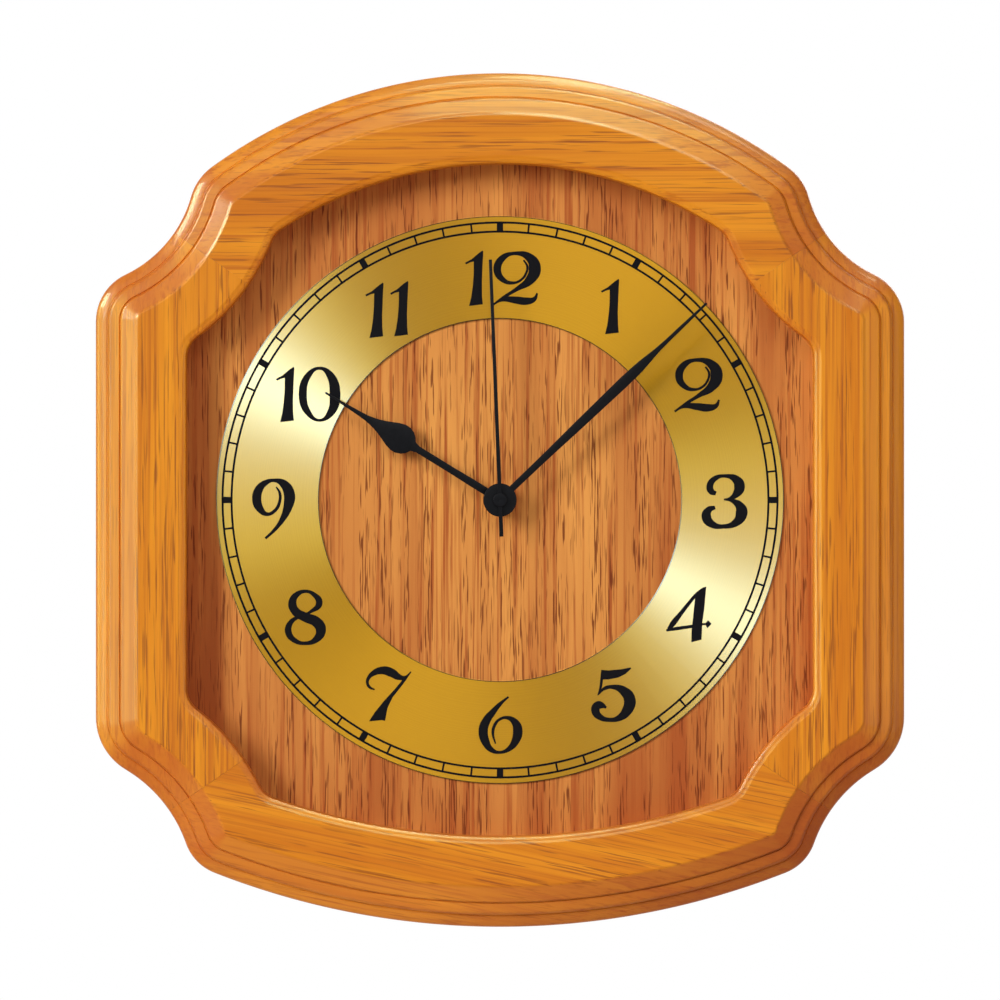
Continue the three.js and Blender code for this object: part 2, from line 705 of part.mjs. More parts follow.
function secondWheel() {
  return gear(
    FAST_MODULE,
    SECOND_TEETH,
    INTERMEDIATE_BEARING,
    layerBack(SECOND_LAYER),
    layerFront(SECOND_LAYER),
  )
    .add(
      gear(
        FAST_MODULE,
        SECOND_LEAVES,
        gapFacing(THIRD_BEARING, SECOND_LEAVES),
        layerBack(THIRD_LAYER) - REACH,
        layerFront(THIRD_LAYER) + REACH,
      ),
    )
    .add(rearArbor(SECOND_ARBOR_RADIUS, SECOND_HAND_Z + SECOND_HAND_THICKNESS, AXIS));
}

function thirdWheel() {
  const facing = THIRD_BEARING + Math.PI;
  return gear(FAST_MODULE, THIRD_TEETH, facing, layerBack(THIRD_LAYER), layerFront(THIRD_LAYER), THIRD_PLACE)
    .add(
      gear(
        CENTRE_MODULE,
        THIRD_LEAVES,
        gapFacing(facing, THIRD_LEAVES),
        layerBack(THIRD_LAYER),
        layerFront(CENTRE_LAYER) + REACH,
        THIRD_PLACE,
      ),
    )
    .add(rod(ARBOR_RADIUS, layerBack(PLATE_LAYER) + REACH, PIVOT_FRONT, ...THIRD_PLACE, COARSE));
}

function centreWheel() {
  return gear(
    CENTRE_MODULE,
    CENTRE_TEETH,
    THIRD_BEARING,
    layerBack(CENTRE_LAYER),
    layerFront(CENTRE_LAYER),
  ).subtract(rod(MINUTE_PIPE_RADIUS + PRESS_GAP, ROOM_BACK, DIAL_Z));
}

function minutePipe() {
  const back = layerBack(CENTRE_LAYER) - REACH;
  const front = MINUTE_HAND_Z + HAND_THICKNESS + PIPE_BEYOND_HAND;
  return gear(
    MOTION_MODULE,
    CANNON_LEAVES,
    gapFacing(MINUTE_BEARING, CANNON_LEAVES),
    layerBack(MOTION_LAYER) - REACH,
    layerFront(MOTION_LAYER),
  )
    .add(rod(MINUTE_PIPE_RADIUS, back, front))
    .subtract(rod(SECOND_ARBOR_RADIUS + RUNNING_GAP, back - OVERCUT, front + OVERCUT));
}

function minuteWheel() {
  const facing = MINUTE_BEARING + Math.PI;
  return gear(
    MOTION_MODULE,
    MINUTE_TEETH,
    facing,
    layerBack(MOTION_LAYER),
    layerFront(MOTION_LAYER),
    MINUTE_PLACE,
  )
    .add(
      gear(
        HOUR_MODULE,
        MINUTE_LEAVES,
        gapFacing(facing, MINUTE_LEAVES),
        layerBack(MOTION_LAYER),
        layerFront(HOUR_LAYER) + REACH,
        MINUTE_PLACE,
      ),
    )
    .add(rod(ARBOR_RADIUS, layerBack(PLATE_LAYER) + REACH, PIVOT_FRONT, ...MINUTE_PLACE, COARSE));
}

function hourWheel() {
  const back = layerBack(HOUR_LAYER);
  const front = HOUR_HAND_Z + HAND_THICKNESS + PIPE_BEYOND_HAND;
  return gear(HOUR_MODULE, HOUR_TEETH, MINUTE_BEARING, back, layerFront(HOUR_LAYER))
    .add(rod(HOUR_PIPE_RADIUS, back, front))
    .subtract(rod(MINUTE_PIPE_RADIUS + RUNNING_GAP, back - OVERCUT, front + OVERCUT));
}

function setKnob() {
  const knobFront = MOVEMENT_BACK - RUNNING_GAP;
  const knobBack = knobFront - KNOB_HEIGHT;
  const [x, y] = SET_PLACE;
  const ribs = [];
  for (let i = 0; i < 2 * KNOB_RIBS; i++) {
    ribs.push(along(AXIS, (Math.PI * i) / KNOB_RIBS, i % 2 ? KNOB_RADIUS - KNOB_RIB_DEPTH : KNOB_RADIUS));
  }
  const shaftFront = layerFront(MOTION_LAYER) + REACH;
  return plate(polygon(ribs), knobBack, knobFront)
    .translate(x, y, 0)
    .add(rod(SET_SHAFT_RADIUS, knobBack, shaftFront, x, y, COARSE))
    .add(
      gear(
        MOTION_MODULE,
        SET_LEAVES,
        gapFacing(SET_BEARING + Math.PI, SET_LEAVES),
        layerBack(MOTION_LAYER),
        layerFront(MOTION_LAYER),
        SET_PLACE,
      ),
    );
}

// Movement housing

const ROOM_SIDE = (CELL_LENGTH + CELL_NUB_LENGTH) / 2 + CELL_CLEARANCE + CONTACT_THICKNESS;
const ROOM_TOP = ROOM_ABOVE_AXIS;
const ROOM_FLOOR = -ROOM_BELOW_AXIS;
const BAY_TOP = ROOM_FLOOR - MOVEMENT_WALL;
const BAY_FLOOR = BAY_TOP - 2 * (CELL_RADIUS + CELL_CLEARANCE);
const MOVEMENT_TOP = ROOM_TOP + MOVEMENT_WALL;
const MOVEMENT_FLOOR = BAY_FLOOR - MOVEMENT_WALL;
const MOVEMENT_SIDE = ROOM_SIDE + MOVEMENT_WALL;

// Stator: a plate with a round gap for the rotor and a window for the coil
const STATOR_MIDDLE = layerFront(SECOND_LAYER) - WHEEL_THICKNESS / 2;
const STATOR_BACK = STATOR_MIDDLE - STATOR_THICKNESS / 2;
const STATOR_FRONT = STATOR_MIDDLE + STATOR_THICKNESS / 2;
const STATOR_RIGHT = ROTOR_PLACE[0] + MAGNET_RADIUS + STATOR_GAP + STATOR_GAP;
const STATOR_LEFT = COIL_WALL_GAP + COIL_WALL + COIL_CLEARANCE - ROOM_SIDE;
const STATOR_FLOOR = ROTOR_PLACE[1] - STATOR_POLE / 2;
const STATOR_TOP = STATOR_FLOOR + STATOR_HEIGHT;
const WINDOW_LEFT = STATOR_LEFT + STATOR_LEG;
const WINDOW_FLOOR = STATOR_FLOOR + STATOR_POLE;
const WINDOW_TOP = STATOR_TOP - STATOR_BAR;
const STATOR_POSTS = [
  [STATOR_LEFT + STATOR_LEG / 2, STATOR_FLOOR + STATOR_LEG],
  [STATOR_RIGHT - STATOR_LEG, STATOR_TOP - STATOR_BAR / 2],
];

function stator() {
  return block(STATOR_LEFT, STATOR_RIGHT, STATOR_FLOOR, STATOR_TOP, STATOR_BACK, STATOR_FRONT)
    .subtract(
      block(WINDOW_LEFT, STATOR_RIGHT - STATOR_LEG, WINDOW_FLOOR, WINDOW_TOP, ROOM_BACK, COVER_BACK),
    )
    .subtract(rod(MAGNET_RADIUS + STATOR_GAP, ROOM_BACK, COVER_BACK, ...ROTOR_PLACE, COARSE));
}

function coil() {
  const x0 = STATOR_LEFT - COIL_CLEARANCE;
  const x1 = WINDOW_LEFT + COIL_CLEARANCE;
  const z0 = STATOR_BACK - COIL_CLEARANCE;
  const z1 = STATOR_FRONT + COIL_CLEARANCE;
  const y0 = WINDOW_FLOOR + COIL_CLEARANCE;
  const y1 = WINDOW_TOP - COIL_CLEARANCE;
  return block(x0 - COIL_WALL, x1 + COIL_WALL, y0, y1, z0 - COIL_WALL, z1 + COIL_WALL).subtract(
    block(x0, x1, y0 - OVERCUT, y1 + OVERCUT, z0, z1),
  );
}

// Circuit board with its chip and crystal
const BOARD_RIGHT = ROOM_SIDE - BOARD_WALL_GAP;
const BOARD_LEFT = BOARD_RIGHT - BOARD_WIDTH;
const BOARD_TOP = ROOM_TOP - BOARD_WALL_GAP;
const BOARD_FLOOR = BOARD_TOP - BOARD_HEIGHT;
const BOARD_BACK = STATOR_BACK;
const BOARD_FRONT = BOARD_BACK + BOARD_THICKNESS;
const BOARD_MIDDLE = (BOARD_LEFT + BOARD_RIGHT) / 2;
const BOARD_POSTS = [
  [BOARD_MIDDLE, BOARD_FLOOR + 2 * POST_RADIUS],
  [BOARD_MIDDLE, BOARD_TOP - 2 * POST_RADIUS],
];

function circuitBoard() {
  return block(BOARD_LEFT, BOARD_RIGHT, BOARD_FLOOR, BOARD_TOP, BOARD_BACK, BOARD_FRONT);
}

function chip() {
  const y = BOARD_FLOOR + BOARD_HEIGHT / 4;
  const dome = new THREE.CylinderGeometry(CHIP_RADIUS / 2, CHIP_RADIUS, CHIP_HEIGHT, COARSE);
  dome.rotateX(Math.PI / 2);
  dome.translate(BOARD_MIDDLE, y, BOARD_FRONT + CHIP_HEIGHT / 2);
  return solidOf(dome);
}

function crystal() {
  const can = new THREE.CylinderGeometry(CRYSTAL_RADIUS, CRYSTAL_RADIUS, CRYSTAL_LENGTH, COARSE);
  can.translate(BOARD_MIDDLE, BOARD_TOP - BOARD_HEIGHT / 4, BOARD_FRONT + CRYSTAL_RADIUS);
  return solidOf(can);
}

// Battery cell, lying across the bay below the wheels and lifting out to the back
const CELL_Y = BAY_FLOOR + CELL_CLEARANCE + CELL_RADIUS;
const CELL_Z = COVER_BACK - CELL_CLEARANCE - CELL_RADIUS;

function lyingRod(radius, x0, x1) {
  const geometry = new THREE.CylinderGeometry(radius, radius, x1 - x0, FINE);
  geometry.rotateZ(Math.PI / 2);
  geometry.translate((x0 + x1) / 2, CELL_Y, CELL_Z);
  return solidOf(geometry);
}

const CELL_RIGHT = ROOM_SIDE - CONTACT_THICKNESS - CELL_CLEARANCE;
const CELL_LEFT = CELL_RIGHT - CELL_LENGTH;
const NUB_LEFT = CELL_LEFT - CELL_NUB_LENGTH;

function batteryCell() {
  const nub = lyingRod(CELL_NUB_RADIUS, NUB_LEFT, CELL_LEFT + OVERCUT);
  return lyingRod(CELL_RADIUS, CELL_LEFT, CELL_RIGHT).add(nub);
}

function batteryContact(x0, x1) {
  const half = CONTACT_SIZE / 2;
  return block(x0, x1, CELL_Y - half, CELL_Y + half, CELL_Z - half, COVER_BACK);
}

function movementCase() {
  const outline = (x, y0, y1, corner) => roundedRectangle(-x, x, y0, y1, corner);
  let body = plate(
    outline(MOVEMENT_SIDE, MOVEMENT_FLOOR, MOVEMENT_TOP, MOVEMENT_CORNER),
    MOVEMENT_BACK,
    COVER_BACK,
    CORNER_SEGMENTS,
  );
  const mouth = COVER_BACK + OVERCUT;
  body = body
    .subtract(block(-ROOM_SIDE, ROOM_SIDE, ROOM_FLOOR, ROOM_TOP, ROOM_BACK, mouth))
    .subtract(block(-ROOM_SIDE, ROOM_SIDE, BAY_FLOOR, BAY_TOP, MOVEMENT_BACK - OVERCUT, mouth));
  for (const [x, y] of [...STATOR_POSTS, ...BOARD_POSTS]) {
    body = body.add(rod(POST_RADIUS, ROOM_BACK - OVERCUT, STATOR_BACK, x, y, COARSE));
  }
  for (const [x, y] of PLATE_POSTS) {
    body = body.add(rod(POST_RADIUS, ROOM_BACK - OVERCUT, layerBack(PLATE_LAYER), x, y, COARSE));
  }
  const pivot = (radius, [x, y]) =>
    rod(radius + RUNNING_GAP, ROOM_BACK - PIVOT_DEPTH, ROOM_BACK + OVERCUT, x, y, COARSE);
  const setBore = SET_SHAFT_RADIUS + RUNNING_GAP;
  return body
    .subtract(pivot(ARBOR_RADIUS, ROTOR_PLACE))
    .subtract(pivot(ARBOR_RADIUS, INTERMEDIATE_PLACE))
    .subtract(pivot(SECOND_ARBOR_RADIUS, AXIS))
    .subtract(rod(setBore, MOVEMENT_BACK - OVERCUT, ROOM_BACK + OVERCUT, ...SET_PLACE, COARSE));
}

// Middle plate, which carries the front ends of the fast wheels and the back ends of the slow ones
const PLATE_LEFT = ROTOR_PLACE[0] - 2 * POST_RADIUS;
const PLATE_RIGHT = BOARD_LEFT - POST_RADIUS;
const PLATE_FLOOR = ROOM_FLOOR + POST_RADIUS;
const PLATE_TOP = ROOM_TOP - POST_RADIUS;
const PLATE_POSTS = [PLATE_LEFT + POST_RADIUS, PLATE_RIGHT - POST_RADIUS].flatMap((x) => [
  [x, PLATE_FLOOR + POST_RADIUS],
  [x, PLATE_TOP - POST_RADIUS],
]);

function middlePlate() {
  let body = block(
    PLATE_LEFT,
    PLATE_RIGHT,
    PLATE_FLOOR,
    PLATE_TOP,
    layerBack(PLATE_LAYER),
    layerFront(PLATE_LAYER),
  );
  const bores = [
    [ARBOR_RADIUS, ROTOR_PLACE],
    [ARBOR_RADIUS, INTERMEDIATE_PLACE],
    [ARBOR_RADIUS, THIRD_PLACE],
    [ARBOR_RADIUS, MINUTE_PLACE],
    [SECOND_ARBOR_RADIUS, AXIS],
    [SET_SHAFT_RADIUS, SET_PLACE],
  ];
  for (const [radius, [x, y]] of bores) {
    body = body.subtract(rod(radius + RUNNING_GAP, ROOM_BACK, COVER_BACK, x, y, COARSE));
  }
  return body;
}

function frontCover() {
  const shape = roundedRectangle(
    -MOVEMENT_SIDE,
    MOVEMENT_SIDE,
    MOVEMENT_FLOOR,
    MOVEMENT_TOP,
    MOVEMENT_CORNER,
  );
  const pivot = ([x, y]) =>
    rod(ARBOR_RADIUS + RUNNING_GAP, COVER_BACK - OVERCUT, COVER_BACK + PIVOT_DEPTH, x, y, COARSE);
  return plate(shape, COVER_BACK, COVER_FRONT, CORNER_SEGMENTS)
    .subtract(rod(BUSH_RADIUS + PRESS_GAP, COVER_BACK - OVERCUT, COVER_FRONT + OVERCUT))
    .subtract(pivot(THIRD_PLACE))
    .subtract(pivot(MINUTE_PLACE));
}

function threadedBush() {
  return rod(BUSH_RADIUS, COVER_BACK, BUSH_FRONT)
    .add(rod(BUSH_FLANGE_RADIUS, COVER_FRONT, COVER_FRONT + BUSH_FLANGE_THICKNESS))
    .subtract(rod(HOUR_PIPE_RADIUS + RUNNING_GAP, COVER_BACK - OVERCUT, BUSH_FRONT + OVERCUT));
}

// Hands, drawn pointing up and turned clockwise to the time shown

function handShape(halfWidths, { hub }) {
  const right = halfWidths.map(([radius, half]) => [half, radius]);
  const left = halfWidths.map(([radius, half]) => [-half, radius]).reverse();
  return { blade: polygon([...right, ...left]), hub };
}

function hand({ blade, hub }, bore, z, thickness, angle) {
  return plate(blade, z, z + thickness)
    .add(rod(hub, z, z + thickness))
    .subtract(rod(bore + PRESS_GAP, z - OVERCUT, z + thickness + OVERCUT))
    .rotate(0, 0, -THREE.MathUtils.radToDeg(angle));
}

function hourHand() {
  const { length, stem, bulbStart, bulbAt, bulb, neck, neckHalf, point } = HOUR_HAND;
  const halfWidths = [
    [0, stem],
    [bulbStart, stem],
  ];
  for (let i = 1; i <= HAND_STEPS; i++) {
    const turn = ((Math.PI / 2) * i) / HAND_STEPS;
    halfWidths.push([bulbAt - (bulbAt - bulbStart) * Math.cos(turn), stem + (bulb - stem) * Math.sin(turn)]);
  }
  for (let i = 1; i <= HAND_STEPS; i++) {
    const share = i / HAND_STEPS;
    const fall = (1 + Math.cos(Math.PI * share)) / 2;
    halfWidths.push([bulbAt + (neck - bulbAt) * share, neckHalf + (bulb - neckHalf) * fall]);
  }
  halfWidths.push([length, point]);
  return hand(
    handShape(halfWidths, HOUR_HAND),
    HOUR_PIPE_RADIUS,
    HOUR_HAND_Z,
    HAND_THICKNESS,
    HOUR_HAND_ANGLE,
  );
}

function minuteHand() {
  const { length, stem, wideAt, wide, neck, neckHalf, point } = MINUTE_HAND;
  const halfWidths = [[0, stem]];
  for (let i = 0; i <= HAND_STEPS; i++) {
    const share = i / HAND_STEPS;
    const rise = (1 - Math.cos(Math.PI * share)) / 2;
    halfWidths.push([MINUTE_HAND.hub + (wideAt - MINUTE_HAND.hub) * share, stem + (wide - stem) * rise]);
  }
  for (let i = 1; i <= HAND_STEPS; i++) {
    const share = i / HAND_STEPS;
    const fall = (1 + Math.cos(Math.PI * share)) / 2;
    halfWidths.push([wideAt + (neck - wideAt) * share, neckHalf + (wide - neckHalf) * fall]);
  }
  halfWidths.push([length, point]);
  return hand(
    handShape(halfWidths, MINUTE_HAND),
    MINUTE_PIPE_RADIUS,
    MINUTE_HAND_Z,
    HAND_THICKNESS,
    MINUTE_HAND_ANGLE,
  );
}

function secondHand() {
  const { length, tail, half } = SECOND_HAND;
  const halfWidths = [
    [-tail, half],
    [length, half],
  ];
  const { blade, hub } = handShape(halfWidths, SECOND_HAND);
  const boreEnd = SECOND_HAND_Z + SECOND_HAND_THICKNESS + PRESS_GAP;
  return plate(blade, SECOND_HAND_Z, SECOND_HAND_Z + SECOND_HAND_THICKNESS)
    .add(rod(hub, SECOND_HAND_Z, boreEnd + SECOND_HAND_CAP))
    .subtract(rod(SECOND_ARBOR_RADIUS + PRESS_GAP, SECOND_HAND_Z - OVERCUT, boreEnd))
    .rotate(0, 0, -THREE.MathUtils.radToDeg(SECOND_HAND_ANGLE));
}

// Finishes

const finish = (color, roughness, metalness) => ({ color, roughness, metalness });
const OAK = finish("#dc8d3a", 0.42, 0);
const SPLINE_OAK = finish("#c47a30", 0.6, 0);
const VENEER = finish("#c0733a", 0.45, 0);
const BRASS = finish("#c9a03a", 0.3, 1);
const BLACK = finish("#14161a", 0.4, 0);
const STEEL = finish("#a9abad", 0.35, 1);
const IRON = finish("#6c6d70", 0.45, 1);
const COPPER = finish("#b0643a", 0.4, 1);
const PLASTIC_BLACK = finish("#1c1d1f", 0.55, 0);
const PLASTIC_WHITE = finish("#e4e2da", 0.5, 0);
const RUBBER = finish("#232323", 0.85, 0);
const BOARD_GREEN = finish("#2f6b3c", 0.5, 0);
const CELL_GREY = finish("#8d9297", 0.4, 0.3);

const clock = new THREE.Group();
clock.rotation.x = Math.PI / 2;
clock.position.z = -HOOK_Y;

function place(name, solid, { color, roughness, metalness }) {
  const material = new THREE.MeshStandardMaterial({ color, roughness, metalness, flatShading: true });
  const mesh = new THREE.Mesh(geometryOf(solid), material);
  mesh.name = name;
  clock.add(mesh);
}

const CORNERS = [
  ["top_left", TOP, -1],
  ["top_right", TOP, 1],
  ["bottom_left", BOTTOM, -1],
  ["bottom_right", BOTTOM, 1],
];

function frameMembers() {
  let loop = frameLoop();
  for (const [, end, sign] of CORNERS) {
    loop = loop.subtract(spline(end, sign, GLUE_GAP));
  }
  for (const at of PANEL_SCREW_PLACES) {
    loop = loop.subtract(screwHole(PANEL_SCREW, PANEL_BACK, at));
  }
  loop = loop.subtract(hangerPocket());
  for (const at of HANGER_SCREW_PLACES) {
    loop = loop.subtract(screwHole(HANGER_SCREW, HANGER_RECESS, at));
  }
  const wedges = mitreWedges();
  place("top_rail", loop.intersect(wedges.top), OAK);
  place("bottom_rail", loop.intersect(wedges.bottom), OAK);
  place("left_stile", loop.intersect(wedges.left), OAK);
  place("right_stile", loop.intersect(wedges.right), OAK);
}

frameMembers();
for (const [name, end, sign] of CORNERS) {
  place(`spline_${name}`, spline(end, sign, 0), SPLINE_OAK);
}
place("dial_panel", dialPanel(), VENEER);
PANEL_SCREW_PLACES.forEach((at, i) => {
  place(`panel_screw_${i + 1}`, screw(PANEL_SCREW, PANEL_BACK, at), STEEL);
});
place(
  "chapter_ring",
  annulus(RING_OUTER_RADIUS, RING_INNER_RADIUS, DIAL_Z, DIAL_Z + RING_THICKNESS, RING_SIDES),
  BRASS,
);
place("hanger_plate", hangerPlate(), STEEL);
HANGER_SCREW_PLACES.forEach((at, i) => {
  place(`hanger_screw_${i + 1}`, screw(HANGER_SCREW, HANGER_RECESS, at), STEEL);
});

place("movement_case", movementCase(), PLASTIC_BLACK);
place("front_cover", frontCover(), PLASTIC_BLACK);
place("middle_plate", middlePlate(), PLASTIC_WHITE);
place("threaded_bush", threadedBush(), BRASS);
place(
  "rubber_washer",
  annulus(RUBBER_RADIUS, BUSH_RADIUS + SCREW_CLEARANCE, PANEL_BACK - RUBBER_THICKNESS, PANEL_BACK),
  RUBBER,
);
place("washer", annulus(WASHER_RADIUS, BUSH_RADIUS + PRESS_GAP, DIAL_Z, DIAL_Z + WASHER_THICKNESS), BRASS);
place("hex_nut", hexNut(), BRASS);

place("rotor", rotor(), IRON);
place("intermediate_wheel", intermediateWheel(), PLASTIC_WHITE);
place("second_wheel", secondWheel(), STEEL);
place("third_wheel", thirdWheel(), PLASTIC_WHITE);
place("centre_wheel", centreWheel(), BRASS);
place("minute_pipe", minutePipe(), BRASS);
place("minute_wheel", minuteWheel(), PLASTIC_WHITE);
place("hour_wheel", hourWheel(), PLASTIC_WHITE);
place("set_knob", setKnob(), PLASTIC_BLACK);

place("stator", stator(), IRON);
place("coil", coil(), COPPER);
place("circuit_board", circuitBoard(), BOARD_GREEN);
place("chip", chip(), PLASTIC_BLACK);
place("crystal", crystal(), STEEL);
place("battery_cell", batteryCell(), CELL_GREY);
place("contact_plus", batteryContact(-ROOM_SIDE, CONTACT_THICKNESS - ROOM_SIDE), STEEL);
place("contact_minus", batteryContact(ROOM_SIDE - CONTACT_THICKNESS, ROOM_SIDE), STEEL);

place("hour_hand", hourHand(), BLACK);
place("minute_hand", minuteHand(), BLACK);
place("second_hand", secondHand(), BLACK);

export default clock;
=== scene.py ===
# %% [markdown]
# # A wooden wall clock
# The clock has an oak frame with ogee corners, a veneered dial set back behind it, a brass chapter
# ring, three black hands, and a battery movement that shows only from behind. The packed CAD model
# gives every size and place. Here each piece that shows gets its fine shape and its finish, from
# the frame in to the hands and then round to the back.

import math
from contextlib import contextmanager

import bpy
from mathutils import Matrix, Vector


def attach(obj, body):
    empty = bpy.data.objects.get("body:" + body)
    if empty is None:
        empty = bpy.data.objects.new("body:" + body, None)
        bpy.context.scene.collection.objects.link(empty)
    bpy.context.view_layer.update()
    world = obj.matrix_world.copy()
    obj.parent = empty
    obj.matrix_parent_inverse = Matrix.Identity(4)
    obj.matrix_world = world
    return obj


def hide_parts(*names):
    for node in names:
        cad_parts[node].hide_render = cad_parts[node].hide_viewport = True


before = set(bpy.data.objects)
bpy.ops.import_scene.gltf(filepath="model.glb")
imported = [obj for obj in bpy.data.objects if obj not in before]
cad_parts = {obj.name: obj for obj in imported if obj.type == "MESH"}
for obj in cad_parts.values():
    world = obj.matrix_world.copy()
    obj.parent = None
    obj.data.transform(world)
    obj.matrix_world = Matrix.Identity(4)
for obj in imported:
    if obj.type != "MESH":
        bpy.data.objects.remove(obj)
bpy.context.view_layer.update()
MM = 0.001
HOOK_HEIGHT = 150.5  # mm from the hands' axis up to the hook, where the origin lies


def at(x, y, z):
    """A place in mm seen from the front: x right, y up from the hands' axis, z off the wall."""
    return Vector((x * MM, -z * MM, (y - HOOK_HEIGHT) * MM))


def pick(obj):
    """Makes obj the only selected object, so that the next operator works on it alone."""
    bpy.ops.object.select_all(action="DESELECT")
    obj.select_set(True)
    bpy.context.view_layer.objects.active = obj
    return obj


@contextmanager
def editing(obj):
    """Opens obj in edit mode with all of it selected, and closes it again."""
    pick(obj)
    bpy.ops.object.mode_set(mode="EDIT")
    bpy.ops.mesh.select_all(action="SELECT")
    yield
    bpy.ops.object.mode_set(mode="OBJECT")


print("CAD nodes:", len(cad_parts))

# %% [markdown]
# ## The outline of the case
# Each quarter of the outline is an arch, a convex shoulder, a hollow cove and a second shoulder
# that runs into the straight side. Moulding cutters follow that line at a fixed distance, so every
# line of the moulding is a true offset: arches shrink by the inset, coves grow by it, and the
# shoulders are fitted between them. A function that gives the line at any inset draws the whole
# frame.

# %% Outline at any inset
HALF_WIDTH, HALF_HEIGHT, FRAME_WIDTH, REBATE = 151.5, 160.0, 34.1, 26.0
# Radii in mm, and how far a cove's centre lies beyond the side and below the end of the case.
TOP = {"arch": 183.6, "cove": 46.2, "beyond": 8.8, "below": 33.8, "shoulders": (21.0, 19.5)}
BOTTOM = {"arch": 293.0, "cove": 52.3, "beyond": 15.6, "below": 14.0, "shoulders": (18.5, 22.9)}
ARCH_STEPS, COVE_STEPS, SHOULDER_STEPS = 40, 20, 12


def arc(centre, radius, start, end, steps):
    turns = [start + (end - start) * i / steps for i in range(steps + 1)]
    return [(centre[0] + radius * math.cos(t), centre[1] + radius * math.sin(t)) for t in turns]


def bearing(a, b):
    return math.atan2(b[1] - a[1], b[0] - a[0]) % (2 * math.pi)


def quarter(end, inset, fillets):
    """A quarter of the line, from the middle of an arch to the straight side."""
    arch = (0, HALF_HEIGHT - end["arch"])
    cove = (HALF_WIDTH + end["beyond"], HALF_HEIGHT - end["below"])
    big, hollow = end["arch"] - inset, end["cove"] + inset
    first, second = fillets
    apart = math.dist(arch, cove)
    near = ((big - first) ** 2 - (hollow + first) ** 2 + apart**2) / (2 * apart)
    off = math.sqrt((big - first) ** 2 - near**2)
    aim = bearing(arch, cove)
    upper = (
        near * math.cos(aim) - off * math.sin(aim),
        arch[1] + near * math.sin(aim) + off * math.cos(aim),
    )
    x = HALF_WIDTH - inset - second
    lower = (x, cove[1] - math.sqrt((hollow + second) ** 2 - (cove[0] - x) ** 2))
    arch_end = bearing(arch, upper)
    cove_start, cove_end = bearing(cove, upper), bearing(cove, lower)
    return (
        arc(arch, big, math.pi / 2, arch_end, ARCH_STEPS)
        + arc(upper, first, arch_end, cove_start - math.pi, SHOULDER_STEPS)[1:]
        + arc(cove, hollow, cove_start, cove_end, COVE_STEPS)[1:]
        + arc(lower, second, cove_end - math.pi, 0, SHOULDER_STEPS)[1:]
    )


def outline(inset, fillet):
    """The closed line at this inset; fillet turns a shoulder's own radius into the one here."""
    top = quarter(TOP, inset, [fillet(s) for s in TOP["shoulders"]])
    bottom = quarter(BOTTOM, inset, [fillet(s) for s in BOTTOM["shoulders"]])
    right = top + [(x, -y) for x, y in reversed(bottom)]
    return right + [(-x, y) for x, y in reversed(right[1:-1])]


print("points in one outline:", len(outline(0, lambda s: s)))

# %% [markdown]
# ## The frame's moulding
# Seen in section the moulding climbs from the side of the case: a rounded bead with a flattened
# crown, a fine quirk, a second bead with a tread, a riser, a slope, an arris and the broad flat. At
# the inner edge two soft steps lead down to the dial. No single modifier gives a section like that
# along a line whose corners change radius, so the lines are lofted: one loop for each point of the
# section, joined side by side into a closed ring of faces.

# %% Loft the frame ring
DIAL_FACE = 31
LEAST_FILLET, OPENING_FILLET, REBATE_FILLET = 3.0, 9.4, 4.0


def rounded(start, end, steps):
    """A quarter round that leaves start upwards and arrives at end level."""
    turns = [math.pi / 2 * i / steps for i in range(steps + 1)]
    (x0, z0), (x1, z1) = start, end
    return [(x1 - (x1 - x0) * math.cos(t), z0 + (z1 - z0) * math.sin(t)) for t in turns]


def placed(name, data):
    """A new object in the scene, made of this data."""
    obj = bpy.data.objects.new(name, data)
    bpy.context.collection.objects.link(obj)
    return obj


def mesh_piece(name, points, faces):
    mesh = bpy.data.meshes.new(name)
    mesh.from_pydata(points, [], faces)
    return placed(name, mesh)


# Chains of (inset from the outline, distance from the wall) in mm.
first_bead = [(0.6, 0), (0, 0.6), *rounded((0, 34.2), (2.0, 36.9), 10)[:7]]
first_bead += [(2.1, 37.1), (2.5, 37.38), (3.0, 37.62), (4.2, 37.98)]
quirk = [(4.4, 37.88), (4.6, 37.98)]
second_bead = [*rounded((4.7, 38.4), (6.3, 40.6), 6), (8.4, 41.2), (9.0, 41.3), (9.2, 41.0)]
riser = [(9.4, 41.0), (9.55, 41.5), (9.7, 42.3), (9.95, 42.6), (10.3, 42.75)]
slope = [(14.6, 44.1), (15.05, 44.28)]
arris = [(15.55, 44.68), (15.8, 44.86), (16.0, 44.95), (16.3, 45), (16.7, 45)]
first_step = [(30.9, 45), (31.3, 45), (31.55, 44.94), (32.25, 44.64), (32.4, 44.6)]
second_step = [(32.9, 44.56), (33.1, 44.5), (33.75, 44.2), (33.98, 44.0)]
inner_wall = [(FRAME_WIDTH, 43.7), (FRAME_WIDTH, 43.3), (FRAME_WIDTH, DIAL_FACE)]
rebate = [(REBATE, DIAL_FACE), (REBATE, 0.4), (REBATE - 0.4, 0)]

front = first_bead + quirk + second_bead + riser + slope + arris
inner = first_step + second_step + inner_wall
loops = [(outline(d, lambda s, d=d: max(s - d, LEAST_FILLET)), z) for d, z in front]
loops += [(outline(d, lambda s, d=d: OPENING_FILLET + FRAME_WIDTH - d), z) for d, z in inner]
loops += [(outline(d, lambda s: REBATE_FILLET), z) for d, z in rebate]

points = [at(x, y, z) for line, z in loops for x, y in line]
count = len(loops[0][0])
quads = []
for i in range(len(loops)):
    a, b = i * count, (i + 1) % len(loops) * count
    for k in range(count):
        m = (k + 1) % count
        quads.append((a + k, b + k, b + m, a + m))
frame_ring = mesh_piece("frame_ring", points, quads)
print("frame ring:", len(quads), "faces")

